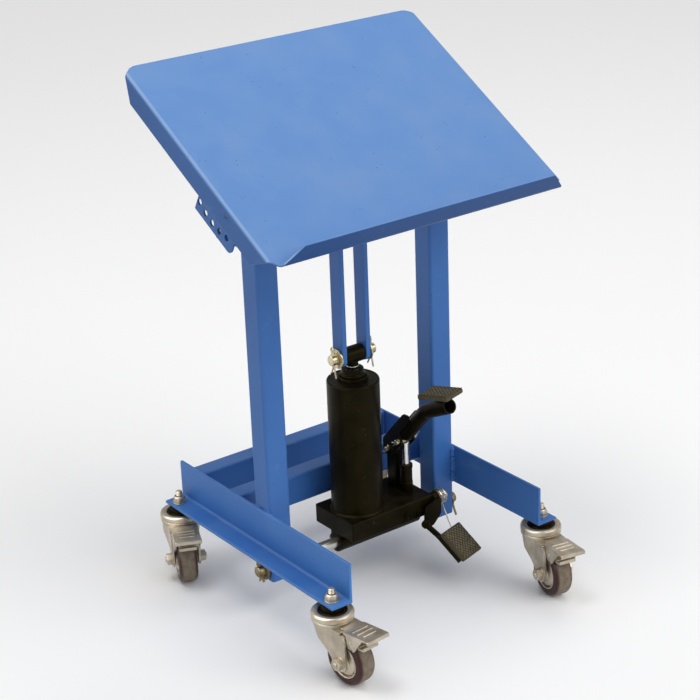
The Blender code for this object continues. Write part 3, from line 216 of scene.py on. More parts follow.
def tyre_polyurethane():
    """Dark red-brown polyurethane, its tread greyed and scuffed by the floor."""
    tyre = Finish("tyre_polyurethane", {"IOR": 1.48, "Specular IOR Level": 0.3})
    across = tyre.node("ShaderNodeAttribute", {"attribute_name": "across"}, {}, "Fac")
    tread = 1 - tyre.step(tyre.node("ShaderNodeMath", {"operation": "ABSOLUTE"}, {0: across}), 0.0075, 0.0125)
    wear = tyre.noise(130.0, 6.0, 0.65)
    soil = tread * tyre.step(wear, 0.25, 0.65)
    flank = tyre.mix(tyre.noise(40.0, 3.0), shade(0.034, 0.008, 0.0085), shade(0.058, 0.014, 0.0145))
    tone = tyre.mix(tread * 0.75, flank, shade(0.15, 0.115, 0.078))
    tone = tyre.mix(soil * 0.6, tone, shade(0.28, 0.235, 0.17))
    tyre.set("Base Color", tone)
    tyre.set("Roughness", 0.32 + 0.3 * soil + 0.08 * wear)
    tyre.bump(wear, 0.00012)
    return tyre.material


def pedal_rubber(name, dark, pale):
    """Olive-black moulded rubber, unevenly greyed."""
    rubber = Finish(name, {"IOR": 1.45, "Specular IOR Level": 0.2})
    wear = rubber.noise(150.0, 5.0, 0.6)
    tone = rubber.mix(rubber.step(wear, 0.3, 0.7), dark, pale)
    rubber.set("Base Color", tone)
    rubber.set("Roughness", 0.52 + 0.22 * wear)
    rubber.bump(wear, 0.00015)
    return rubber.material


BLUE = powder_coat("blue_powder_coat", shade(0.036, 0.132, 0.4), shade(0.046, 0.158, 0.45), 0.25)
# The top: painted reflection on its upper face, painted shade on its flanges, lip and underside, a painted
# highlight along its left fold, and a dark stain on the left flange.
TOP_BLUE = powder_coat(
    "blue_powder_coat_top", shade(0.036, 0.132, 0.4), shade(0.046, 0.158, 0.45), 0.2,
    painted_sky_reflection=shade(0.1, 0.231, 0.514), painted_underside_shade=shade(0.006, 0.06, 0.222), painted_fold_highlight=shade(0.25, 0.4, 0.67),
    smudges=[((-0.2575, -0.0812, 0.6666), 0.009, 0.8)])
# The left rail: a lighter copy of the blue coat, painted light, because the left side catches more light.
LEFT_RAIL_LIT_BLUE = powder_coat(
    "blue_powder_coat_left_rail_painted_light", shade(0.044, 0.172, 0.5), shade(0.053, 0.202, 0.555), 0.25)
BLACK = black_enamel()
SATIN_ZINC = plated("satin_zinc", shade(0.4, 0.345, 0.265), shade(0.62, 0.55, 0.445), 0.24, metallic=0.72)
BRIGHT_ZINC = plated("bright_zinc", shade(0.52, 0.5, 0.45), shade(0.72, 0.7, 0.65), 0.2)
YELLOW_ZINC = plated("yellow_zinc", shade(0.5, 0.43, 0.27), shade(0.76, 0.69, 0.5), 0.2, 60.0)
CHROME = plated("hard_chrome", shade(0.66, 0.66, 0.65), shade(0.78, 0.78, 0.77), 0.06)
# Aged zinc, dark bronze, darkened further with painted shade for the shaft's ends, which lie under the side
# angles.
AGED_AND_SHADED_ZINC = plated("aged_and_shaded_zinc", shade(0.12, 0.093, 0.05), shade(0.36, 0.295, 0.175), 0.32, 150.0)
BRASS = plated("brass_pin", shade(0.8, 0.64, 0.28), shade(0.95, 0.85, 0.52), 0.2, 60.0, metallic=0.25)
TYRE = tyre_polyurethane()
RUBBER = pedal_rubber("pedal_rubber", shade(0.062, 0.051, 0.027), shade(0.09, 0.075, 0.042))
WORN_RUBBER = pedal_rubber("pedal_rubber_worn", shade(0.13, 0.11, 0.066), shade(0.2, 0.172, 0.11))


# Shapes

PLANES = {
    "XY": Matrix(),
    "XZ": Matrix(((1, 0, 0, 0), (0, 0, 1, 0), (0, 1, 0, 0), (0, 0, 0, 1))),
    "YZ": Matrix(((0, 0, 1, 0), (1, 0, 0, 0), (0, 1, 0, 0), (0, 0, 0, 1))),
}
AXES = {"X": Matrix.Rotation(math.pi / 2, 4, "Y"), "Y": Matrix.Rotation(-math.pi / 2, 4, "X"), "Z": Matrix()}


def faced_out(build):
    bmesh.ops.recalc_face_normals(build, faces=build.faces)
    return build


def placed(build, place):
    bmesh.ops.transform(build, matrix=place, verts=build.verts)
    return build


def moved(build, place):
    return faced_out(placed(build, place))


def run_on(build, edges):
    """Extrudes edges, and gives the new edges and their ends."""
    made = bmesh.ops.extrude_edge_only(build, edges=edges)["geom"]
    edges = [item for item in made if isinstance(item, bmesh.types.BMEdge)]
    return edges, [item for item in made if isinstance(item, bmesh.types.BMVert)]


def outline(build, points, closed=True):
    """Edges through (across, along, rounding) points in the XY plane."""
    corners = [build.verts.new((point[0], point[1], 0.0)) for point in points]
    pairs = list(zip(corners, corners[1:]))
    if closed:
        pairs.append((corners[-1], corners[0]))
    for pair in pairs:
        build.edges.new(pair)
    roundings = [point[2] if len(point) > 2 else 0.0 for point in points]
    for radius in sorted(set(roundings) - {0.0}):
        chosen = [corner for corner, rounding in zip(corners, roundings) if rounding == radius]
        bmesh.ops.bevel(
            build, geom=chosen, affect="VERTICES", offset=radius, offset_type="OFFSET",
            segments=ROUND_STEPS, profile=0.5, material=-1)


def both_halves(points, place):
    """A whole outline from one half of it, mirrored in the first (0) or second (1) value of its points."""
    other = [list(point) for point in reversed(points)]
    for point in other:
        point[place] = -point[place]
    return points + other


def soften(build, width, segments=2):
    sharp = []
    for edge in build.edges:
        if edge.is_manifold and edge.calc_face_angle(0.0) > SHARP_ANGLE:
            sharp.append(edge)
    bmesh.ops.bevel(
        build, geom=sharp, affect="EDGES", offset=width, offset_type="OFFSET", segments=segments,
        profile=0.5, material=-1, clamp_overlap=True)
    return build


def thicken(build, low, high):
    run = bmesh.ops.extrude_face_region(build, geom=list(build.faces))["geom"]
    top = [item for item in run if isinstance(item, bmesh.types.BMVert)]
    bmesh.ops.translate(build, vec=(0.0, 0.0, high - low), verts=top)
    bmesh.ops.translate(build, vec=(0.0, 0.0, low), verts=build.verts)
    return faced_out(build)


def prism(points, plane, low, high, edge=0.0006, holes=()):
    """A flat outline, thickened along the plane's third axis, with its rims softened."""
    build = bmesh.new()
    outline(build, points)
    for across, along, radius in holes:
        bmesh.ops.create_circle(
            build, cap_ends=False, radius=radius, segments=SMALL_SIDES,
            matrix=Matrix.Translation((across, along, 0.0)))
    if holes:
        bmesh.ops.triangle_fill(build, use_beauty=True, edges=build.edges)
    else:
        bmesh.ops.edgeloop_fill(build, edges=build.edges)
    thicken(build, low, high)
    if edge:
        soften(build, edge)
    return moved(build, PLANES[plane])


def rounded(left, bottom, right, top, radius):
    return [(left, bottom, radius), (right, bottom, radius), (right, top, radius), (left, top, radius)]


def tube(left, bottom, right, top, wall, radius, plane, low, high):
    """A rectangular tube with rounded corners and open ends."""
    build = bmesh.new()
    outline(build, rounded(left, bottom, right, top, radius))
    inner = max(radius - wall, 0.0008)
    outline(build, rounded(left + wall, bottom + wall, right - wall, top - wall, inner))
    bmesh.ops.bridge_loops(build, edges=build.edges)
    thicken(build, low, high)
    soften(build, 0.0004, 1)
    return moved(build, PLANES[plane])


def turned(profile, axis="Z", at=(0.0, 0.0, 0.0), closed=False, sides=TURNED_SIDES):
    """A profile of (radius, height, rounding) points swept round an axis through a point."""
    build = bmesh.new()
    outline(build, profile, closed)
    # The height along the axis stays with the shape, where the tyre's finish looks for its tread.
    across = build.verts.layers.float.new("across")
    for vert in build.verts:
        vert[across] = vert.co.y
    bmesh.ops.rotate(build, cent=(0, 0, 0), matrix=Matrix.Rotation(math.pi / 2, 3, "X"), verts=build.verts)
    bmesh.ops.spin(
        build, geom=build.verts[:] + build.edges[:], cent=(0, 0, 0), axis=(0, 0, 1), dvec=(0, 0, 0),
        angle=2 * math.pi, steps=sides, use_merge=True)
    bmesh.ops.remove_doubles(build, verts=build.verts, dist=0.000001)
    return moved(build, Matrix.Translation(at) @ AXES[axis])


def block(low, high, edge, place=None):
    low, high = Vector(low), Vector(high)
    build = bmesh.new()
    bmesh.ops.create_cube(build, size=1.0)
    bmesh.ops.scale(build, vec=high - low, verts=build.verts)
    bmesh.ops.translate(build, vec=(low + high) / 2, verts=build.verts)
    soften(build, edge, segments=3)
    return moved(build, place or Matrix())


def hexagon(radius, low, high, axis, at, turn=0.0):
    """A hexagon nut or bolt head with broken corners."""
    build = bmesh.new()
    bmesh.ops.create_cone(
        build, cap_ends=True, segments=6, radius1=radius, radius2=radius, depth=high - low,
        matrix=Matrix.Translation((0, 0, (low + high) / 2)) @ Matrix.Rotation(turn, 4, "Z"))
    soften(build, radius * 0.09, 2)
    return moved(build, Matrix.Translation(at) @ AXES[axis])


def hollow_bar(outer, inner, low, high, edge, inner_edge, axis, at, sides=SMALL_SIDES):
    """A round bar with a bore, its rims rounded."""
    profile = [(inner, high, inner_edge), (outer, high, edge), (outer, low, edge), (inner, low, inner_edge)]
    return turned(profile, axis, at, closed=True, sides=sides)


def washer(outer, inner, low, high, axis, at):
    edge = (high - low) * 0.3
    return hollow_bar(outer, inner, low, high, edge, edge, axis, at)


def round_bar(radius, low, high, edge, axis, at, sides=SMALL_SIDES):
    """A solid round bar along an axis, its rims rounded."""
    profile = [(0.0, high), (radius, high, edge), (radius, low, edge), (0.0, low)]
    return turned(profile, axis, at, sides=sides)


def span(side, near, far):
    """Two distances from the middle, on one side of it, in rising order."""
    return sorted((side * near, side * far))


def linked(name, data):
    item = bpy.data.objects.new(name, data)
    bpy.context.scene.collection.objects.link(item)
    return item


def meshed(name, build):
    mesh = bpy.data.meshes.new(name)
    build.to_mesh(mesh)
    build.free()
    return mesh


def round_wire(points, radius, smooth=True, sizes=None, sides=3):
    """A round bar along points; sizes swell it from point to point."""
    curve = bpy.data.curves.new("wire", "CURVE")
    curve.dimensions = "3D"
    curve.bevel_depth = radius
    curve.bevel_resolution = sides
    curve.use_fill_caps = True
    curve.resolution_u = 6
    line = curve.splines.new("NURBS" if smooth else "POLY")
    line.points.add(len(points) - 1)
    for number, point in enumerate(points):
        line.points[number].co = (*point, 1.0)
        line.points[number].radius = sizes[number] if sizes else 1.0
    line.use_endpoint_u = True
    line.order_u = 4
    source = linked("wire", curve)
    graph = bpy.context.evaluated_depsgraph_get()
    mesh = bpy.data.meshes.new_from_object(source.evaluated_get(graph))
    bpy.data.objects.remove(source, do_unlink=True)
    build = bmesh.new()
    build.from_mesh(mesh)
    bpy.data.meshes.remove(mesh)
    bmesh.ops.remove_doubles(build, verts=build.verts, dist=0.000001)
    return faced_out(build)


def together(*builds):
    """Several shapes as one."""
    whole = builds[0]
    for build in builds[1:]:
        mesh = meshed("shape", build)
        whole.from_mesh(mesh)
        bpy.data.meshes.remove(mesh)
    return whole


def piece(name, build, finish, body, slot, *replaced):
    """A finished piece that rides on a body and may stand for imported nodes."""
    mesh = meshed(name, build)
    for material in finish if isinstance(finish, list) else [finish]:
        mesh.materials.append(material)
    mesh.shade_smooth()
    mesh.set_sharp_from_angle(angle=SHARP_ANGLE)
    item = linked(name, mesh)
    flats = item.modifiers.new("flats", "WEIGHTED_NORMAL")
    flats.keep_sharp = True
    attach(item, body)
    if replaced:
        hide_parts(*replaced)
    return item


def recolour(item, chosen):
    """Gives a piece's second finish to the faces whose centres are chosen."""
    for face in item.data.polygons:
        face.material_index = 1 if chosen(face.center) else 0


SIDES = {"left": -1, "right": 1}


# Welded base

ANGLE_X = 0.175
ANGLE_OUT = 0.211
ANGLE_FOOT = 0.111
ANGLE_TOP = 0.174
ANGLE_SHEET = 0.0045
ANGLE_HALF = 0.218
COLUMN_X = 0.1557
COLUMN_HALF = 0.019
COLUMN_WALL = 0.003
COLUMN_CORNER = 0.0045
COLUMN_FOOT = 0.057
COLUMN_TOP = 0.585
TUBE_YS = {"rear": 0.171, "middle": 0.072}
TUBE_HALF = 0.0155
TUBE_WALL = 0.0025
TUBE_CORNER = 0.0035
TUBE_FOOT = 0.126
WELD_GAP = 0.0003
BEAD_PITCH = 0.0022


def weld(start, end, radius, seed):
    """A rippled bead along a line."""
    start, end = Vector(start), Vector(end)
    ripple = random.Random(seed)
    count = max(6, int((end - start).length / BEAD_PITCH))
    points = []
    sizes = []
    for number in range(count + 1):
        stray = Vector((ripple.uniform(-1, 1), ripple.uniform(-1, 1), ripple.uniform(-1, 1)))
        points.append(start.lerp(end, number / count) + stray * radius * 0.12)
        sizes.append(0.84 + 0.26 * (number % 2) + ripple.uniform(-0.08, 0.08))
    sizes[0] = sizes[-1] = 0.5
    return round_wire(points, radius, smooth=False, sizes=sizes, sides=2)


def upright(x, half, wall, corner, low, high):
    """A square tube that stands at x on the middle plane."""
    return tube(x - half, -half, x + half, half, wall, corner, "XY", low, high)


def make_base():
    inside, ledge = ANGLE_X + ANGLE_SHEET, ANGLE_FOOT + ANGLE_SHEET
    angle = [
        (ANGLE_X, ANGLE_FOOT, 0.0012), (ANGLE_OUT, ANGLE_FOOT, 0.0008), (ANGLE_OUT, ledge, 0.0022),
        (inside, ledge, 0.0045), (inside, ANGLE_TOP, 0.0022), (ANGLE_X, ANGLE_TOP, 0.0008),
    ]
    beads = []
    for name, side in SIDES.items():
        section = [(side * x, z, rounding) for x, z, rounding in angle]
        build = prism(section, "XZ", -ANGLE_HALF, ANGLE_HALF, 0.0007)
        # The left rail takes the lighter copy of the coat, painted light.
        coat = LEFT_RAIL_LIT_BLUE if side < 0 else BLUE
        piece(f"{name}_angle_bar", build, coat, "base", "blue_paint", f"{name}_side_angle")
        build = upright(side * COLUMN_X, COLUMN_HALF, COLUMN_WALL, COLUMN_CORNER, COLUMN_FOOT, COLUMN_TOP)
        piece(f"{name}_column_tube", build, BLUE, "base", "blue_paint", f"{name}_column")
        seam = side * (ANGLE_X - 0.0014)
        for face in (-1, 1):
            y = face * (COLUMN_HALF + 0.0008)
            beads.append(weld((seam, y, ANGLE_FOOT + 0.002), (seam, y, ANGLE_TOP - 0.001), 0.0046, face + 7))
            near, far = face * 0.004, face * 0.018
            beads.append(weld((seam, near, ANGLE_TOP), (seam, far, ANGLE_TOP), 0.0024, face + 11))
            for number, middle in enumerate(TUBE_YS.values()):
                y = middle + face * TUBE_HALF
                foot, head = (seam, y, TUBE_FOOT + 0.002), (seam, y, ANGLE_TOP - 0.002)
                beads.append(weld(foot, head, 0.0022, number + face + 20))
    reach = ANGLE_X - WELD_GAP
    for name, middle in TUBE_YS.items():
        low, high = middle - TUBE_HALF, middle + TUBE_HALF
        build = tube(low, TUBE_FOOT, high, ANGLE_TOP, TUBE_WALL, TUBE_CORNER, "YZ", -reach, reach)
        piece(f"{name}_cross_rail", build, BLUE, "base", "blue_paint", f"{name}_cross_tube")
    piece("base_welds", together(*beads), BLUE, "base", "blue_paint")


# Foot pump and ram

SHAFT_Z = 0.0725
SHAFT_AT = (0.0, 0.0, SHAFT_Z)
SHAFT_RADIUS = 0.0085
SHAFT_END = 0.19
SHAFT_BRIGHT = 0.1762
SHAFT_BORE = 0.0088
SLEEVE_RADIUS = 0.0155
BLOCK_TOP = 0.12
SEAT_Z = BLOCK_TOP + WELD_GAP
TANK_RADIUS = 0.04
TANK_BORE = 0.037
TANK_TOP = 0.3338
RAM_PIN_Z = 0.372
RAM_PIN_AT = (0.0, 0.0, RAM_PIN_Z)
RAM_RADIUS = 0.0132
RAM_EYE = 0.0083
PLUNGER_AT = (0.09, -0.008, 0.0)
LEVER_X = 0.09
LEVER_PIVOT = Vector((0.0, 0.0176, 0.187))
LEVER_BORE = 0.0043
LINK_AT = (0.0, -0.008, 0.2075)
RELEASE_AT = (0.0, -0.0405, 0.1095)


def split_pin(at, hole, spread, size, radius, reach):
    """A split pin through a hole: an eye at one end, two legs bent apart at the other."""
    at, hole, spread = Vector(at), Vector(hole).normalized(), Vector(spread).normalized()
    eye = 0.0034 * size
    gap = radius * 0.9
    points = [
        (gap + reach * 0.55, -reach * 1.5), (gap + reach * 0.25, -reach * 1.1), (gap, -reach * 0.75),
        (gap, 0.0), (gap, reach * 0.7), (eye, reach * 0.7 + eye * 0.6), (eye * 1.05, reach * 0.7 + eye * 1.9),
        (0.0, reach * 0.7 + eye * 2.7),
    ]
    path = points + [(-across, along) for across, along in reversed(points[:-1])]
    path[-1] = (-(gap + reach * 0.15), -reach * 1.7)
    path[-2] = (-(gap + reach * 0.06), -reach * 1.2)
    return round_wire([at + spread * across * size + hole * along * size for across, along in path], radius)


def lever_pin(at, sides):
    return round_bar(0.004, 0.07, 0.11, 0.0008, "X", at, sides)


def lever_clips(at, lean, rise):
    """The split pins at both ends of a pin across the foot lever."""
    clips = []
    for x in (0.0725, 0.1075):
        clips.append(split_pin((x, at[1], at[2]), (0, -lean, rise), (0, rise, lean), 0.62, 0.0008, 0.012))
    return clips


def make_shaft():
    half = [(0.0, SHAFT_END), (SHAFT_RADIUS, SHAFT_END, 0.0018), (SHAFT_RADIUS, SHAFT_BRIGHT)]
    build = turned(both_halves(half, 1), "X", SHAFT_AT)
    item = piece("cross_shaft", build, [BRIGHT_ZINC, AGED_AND_SHADED_ZINC], "base", "bright_zinc", "pump_shaft")
    # The shaft's ends take the aged zinc, darkened with painted shade where the side angles shade them.
    recolour(item, lambda centre: abs(centre.x) > SHAFT_BRIGHT)
    hardware = []
    for side, reach in ((-1, 0.0105), (1, 0.018)):
        hardware.append(washer(SLEEVE_RADIUS, SHAFT_BORE, *span(side, 0.1768, 0.1796), "X", SHAFT_AT))
        at = (side * 0.1845, 0, SHAFT_Z)
        hardware.append(split_pin(at, (0, 0.35, 1), (0, 1, -0.35), 0.95, 0.0018, reach))
    hardware.append(washer(0.0122, 0.0052, 0.1208, 0.1226, "X", RELEASE_AT))
    # The washers and split pins take the same aged zinc with painted shade.
    piece("shaft_washers_and_split_pins", together(*hardware), AGED_AND_SHADED_ZINC, "base", "brass")


def make_pump_block():
    left, right = -0.045, 0.111
    body = block((left, -0.047, 0.089), (right, 0.049, BLOCK_TOP), 0.0022)
    web = block((left + 0.0004, -0.011, SHAFT_Z), (right - 0.0004, 0.011, 0.1), 0.001)
    sleeve = hollow_bar(SLEEVE_RADIUS, SHAFT_BORE, left, right, 0.0012, 0.0008, "X", SHAFT_AT, TURNED_SIDES)
    collar = [(0.0395, 0.1255), (0.0405, 0.1225, 0.001), (0.0428, BLOCK_TOP, 0.0006), (0.0395, 0.1196)]
    build = together(body, web, sleeve, turned(collar, closed=True))
    piece("pump_casting", build, BLACK, "base", "black_paint", "pump_block")


def make_tank():
    tank = [
        (0.0202, TANK_TOP), (0.0212, TANK_TOP), (0.035, 0.333, 0.0008), (0.0366, TANK_TOP, 0.0008),
        (TANK_RADIUS, TANK_TOP, 0.0035), (TANK_RADIUS, SEAT_Z), (TANK_BORE, SEAT_Z), (TANK_BORE, 0.3275),
        (0.0202, 0.3275),
    ]
    gland = [(0.0205, 0.3395, 0.0006), (0.0228, 0.3395, 0.0014), (0.0236, 0.3335, 0.0006), (0.0205, 0.3335)]
    build = together(turned(tank, closed=True, sides=BIG_SIDES), turned(gland, closed=True))
    piece("oil_tank", build, BLACK, "base", "black_paint", "reservoir_tube", "cylinder_head")


def make_ram():
    stage = [
        (0.0135, 0.3505), (0.0142, 0.3511, 0.0005), (0.0166, 0.3511, 0.0012), (0.0172, 0.344, 0.001),
        (0.0196, 0.3425, 0.0012), (0.0196, 0.3341, 0.0004), (0.0194, TANK_TOP), (0.0194, 0.1243, 0.001),
        (0.0135, 0.1243),
    ]
    build = turned(stage, closed=True)
    item = piece("ram_outer_stage", build, [BLACK, CHROME], "ram_stage", "black_paint", "ram_stage")
    recolour(item, lambda centre: centre.z < 0.3335)

    ram = [
        (0.0, RAM_PIN_Z), (0.0082, RAM_PIN_Z), (0.0082, 0.3606), (0.0092, 0.3596, 0.0004), (0.0082, 0.3586),
        (0.0092, 0.3576, 0.0004), (0.0082, 0.3566), (0.0082, 0.3558), (0.01, 0.3556, 0.0004),
        (0.01, 0.3545, 0.0004), (0.009, 0.3541), (0.0118, 0.3534, 0.0006), (RAM_RADIUS, 0.3524, 0.0006),
        (RAM_RADIUS, 0.1283, 0.001), (0.0, 0.1283),
    ]
    eye = hollow_bar(RAM_RADIUS, RAM_EYE, -0.017, 0.017, 0.0014, 0.0006, "X", RAM_PIN_AT, TURNED_SIDES)
    item = piece("ram_rod_and_eye", together(turned(ram), eye), [BLACK, CHROME], "lift", "chrome", "ram_rod")
    recolour(item, lambda centre: centre.z < 0.35 or 0.3542 < centre.z < 0.3558)

    build = round_bar(0.008, -0.04, 0.04, 0.0012, "X", RAM_PIN_AT, TURNED_SIDES)
    piece("ram_cross_pin", build, YELLOW_ZINC, "lift", "bright_zinc", "ram_pin")
    hardware = []
    for side in (-1, 1):
        hardware.append(washer(0.0152, RAM_EYE, *span(side, 0.0262, 0.029), "X", RAM_PIN_AT))
        at = (side * 0.0345, 0, RAM_PIN_Z)
        hardware.append(split_pin(at, (0, 0.08, 1), (0, 1, -0.08), 1.0, 0.0013, 0.0165))
    piece("ram_pin_washers_and_split_pins", together(*hardware), YELLOW_ZINC, "lift", "brass")


def make_pump_cylinder():
    barrel = [
        (0.0063, 0.1655), (0.0066, 0.166, 0.0002), (0.01, 0.166, 0.0008), (0.01, 0.1595, 0.0005),
        (0.0093, 0.1588, 0.0003), (0.0093, 0.1365, 0.0003), (0.0099, 0.1358, 0.0003),
        (0.0099, 0.1206, 0.0006), (0.0063, 0.1206), (0.0063, 0.1362),
    ]
    build = turned(barrel, at=PLUNGER_AT, closed=True)
    piece("pump_cylinder", build, BLACK, "base", "black_paint", "pump_barrel")
    plunger = [(0.0, 0.2032), (0.006, 0.2032, 0.001), (0.006, 0.1475, 0.0008), (0.0, 0.1475)]
    build = turned(plunger, at=PLUNGER_AT)
    piece("pump_plunger_rod", build, CHROME, "pump_plunger", "chrome", "pump_plunger")


def make_lever_post():
    post = [(0.0066, SEAT_Z), (0.0286, SEAT_Z), (0.0286, 0.198, 0.0109), (0.0066, 0.198, 0.0109)]
    build = prism(post, "YZ", 0.081, 0.099, 0.001, [(LEVER_PIVOT.y, LEVER_PIVOT.z, LEVER_BORE)])
    piece("lever_post", build, BLACK, "base", "black_paint", "fulcrum_post")
    build = lever_pin(LEVER_PIVOT, TURNED_SIDES)
    piece("lever_pivot_pin", build, YELLOW_ZINC, "base", "bright_zinc", "fulcrum_pin")
    build = together(*lever_clips(LEVER_PIVOT, 0.5, 0.9))
    piece("lever_pivot_split_pins", build, YELLOW_ZINC, "base", "brass")


def make_valve_plugs():
    plugs = []
    for x, z, radius in ((0.084, 0.098, 0.007), (0.061, 0.1005, 0.0078)):
        boss = radius * 0.66
        seat = [
            (0.0, -0.0003), (radius, -0.0003), (radius, 0.001, 0.0003), (boss, 0.001),
            (boss, 0.0021, 0.0004), (radius * 0.3, 0.0021), (radius * 0.26, 0.0011), (0.0, 0.0011),
        ]
        place = Matrix.Translation((x, -0.0474, z)) @ Matrix.Rotation(math.pi / 2, 4, "X")
        plugs.append(placed(turned(seat), place))
    piece("valve_plugs", together(*plugs), BLACK, "base", "black_paint", "release_valve")


def plate_pressure_cylinder():
    """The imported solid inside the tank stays, with a finish."""
    inside = frame["nodes"]["pressure_cylinder"]
    inside.data.materials.clear()
    inside.data.materials.append(BRIGHT_ZINC)


# Pedals

PAD_THICKNESS = 0.0083
PAD_YAW = math.radians(16.0)
PAD_FINISH = [RUBBER, WORN_RUBBER]
PUMP_PAD_SLOPE = -9.5
RELEASE_PAD_SLOPE = 39.0
STUD_PITCH = 0.0046
STUD_ROWS = 18


def bend_path(points, radius, steps):
    """Straight runs with each inner corner turned into an arc."""
    points = [Vector(point) for point in points]
    path = [points[0]]
    for before, corner, after in zip(points, points[1:], points[2:]):
        arriving = (corner - before).normalized()
        leaving = (after - corner).normalized()
        turn = arriving.angle(leaving)
        first = corner - arriving * radius * math.tan(turn / 2)
        centre = corner + (leaving - arriving).normalized() * radius / math.cos(turn / 2)
        axis = arriving.cross(leaving).normalized()
        for step in range(steps + 1):
            path.append(centre + Matrix.Rotation(turn * step / steps, 3, axis) @ (first - centre))
    return path + [points[-1]]


def open_pipe(points, bend, radius, wall, depth):
    """A bent round bar, bored out at its far end."""
    pipe = round_wire(bend_path(points, bend, 12), radius, smooth=False, sides=10)
    end = points[-1]
    outward = (end - points[-2]).normalized()
    caps = []
    for face in pipe.faces:
        at_end = abs((face.calc_center_median() - end).dot(outward)) < 0.001
        if at_end and face.normal.dot(outward) > 0.99:
            caps.append(face)
    cap = bmesh.ops.dissolve_faces(pipe, faces=caps)["region"][0]
    bmesh.ops.inset_individual(pipe, faces=[cap], thickness=wall, use_even_offset=True)
    bore = bmesh.ops.extrude_discrete_faces(pipe, faces=[cap])["faces"][0]
    bmesh.ops.translate(pipe, vec=-outward * depth, verts=bore.verts)
    return faced_out(pipe)


def pad_place(centre, slope):
    yaw = Matrix.Rotation(PAD_YAW, 4, "Z")
    return Matrix.Translation(centre) @ yaw @ Matrix.Rotation(math.radians(slope), 4, "X")


def tread_pad(width, length, place):
    """A moulded pad with rows of diamond studs on its upper face."""
    half_x, half_y = width / 2, length / 2
    body = block((-half_x, -half_y, -PAD_THICKNESS), (half_x, half_y, -0.0008), 0.0024)
    studs = bmesh.new()
    bmesh.ops.create_grid(studs, x_segments=STUD_ROWS, y_segments=STUD_ROWS, size=STUD_PITCH * STUD_ROWS / 2)
    slant = Matrix.Rotation(math.radians(45), 3, "Z")
    bmesh.ops.rotate(studs, cent=(0, 0, 0), matrix=slant, verts=studs.verts)
    margin = 0.0016
    rims = (((1, 0, 0), half_x), ((-1, 0, 0), half_x), ((0, 1, 0), half_y), ((0, -1, 0), half_y))
    for normal, distance in rims:
        bmesh.ops.bisect_plane(
            studs, geom=studs.verts[:] + studs.edges[:] + studs.faces[:], clear_outer=True,
            plane_co=Vector(normal) * (distance - margin), plane_no=normal)
    bmesh.ops.translate(studs, vec=(0, 0, -0.0009), verts=studs.verts)
    crowns = studs.faces[:]
    bmesh.ops.inset_individual(studs, faces=crowns, thickness=0.0008, depth=0.0009, use_even_offset=True)
    for face in crowns:
        face.material_index = 1
    return placed(together(body, studs), place)


def make_foot_lever():
    bend, end = Vector((0.0, -0.06, 0.2725)), Vector((0.0, -0.1165, 0.3))
    along = (bend - LEVER_PIVOT).normalized()
    across = Vector((0.0, -along.z, along.y))
    shape = [
        (0.0775, -0.0195, 0.002), (0.086, -0.011, 0.002), (0.079, -0.003, 0.002), (0.044, -0.003, 0.006),
        (0.036, 0.0125, 0.004), (0.0, 0.0125, 0.004), (-0.0108, 0.0108, 0.004), (-0.0125, -0.006, 0.004),
        (0.0, -0.0195, 0.004),
    ]
    cheek = []
    for distance, offset, rounding in shape:
        point = LEVER_PIVOT + along * distance + across * offset
        cheek.append((point.y, point.z, rounding))
    hole = [(LEVER_PIVOT.y, LEVER_PIVOT.z, LEVER_BORE)]
    parts = []
    for low in (LEVER_X - 0.0135, LEVER_X + 0.0105):
        parts.append(prism(cheek, "YZ", low, low + 0.003, 0.0005, hole))
    middle = Vector((LEVER_X, 0.0, 0.0))
    points = [middle + LEVER_PIVOT + along * 0.04, middle + bend, middle + end]
    parts.append(open_pipe(points, 0.02, 0.0117, 0.002, 0.04))
    slope = Matrix.Rotation(math.radians(PUMP_PAD_SLOPE), 4, "X")
    seat = Matrix.Translation((LEVER_X, -0.0945, 0.3084)) @ slope
    parts.append(block((-0.004, -0.013, -0.0085), (0.004, 0.013, -0.0006), 0.001, seat))
    piece("foot_lever", together(*parts), BLACK, "pump_pedal", "black_paint", "pump_lever")
    pad = tread_pad(0.043, 0.0545, pad_place((LEVER_X, -0.0938, 0.3167), PUMP_PAD_SLOPE))
    piece("foot_lever_pad", pad, PAD_FINISH, "pump_pedal", "pedal_rubber", "pump_pad")
    link = together(lever_pin(LINK_AT, SMALL_SIDES), *lever_clips(LINK_AT, 0.75, 0.65))
    piece("plunger_link_pin", link, YELLOW_ZINC, "pump_pedal", "brass")


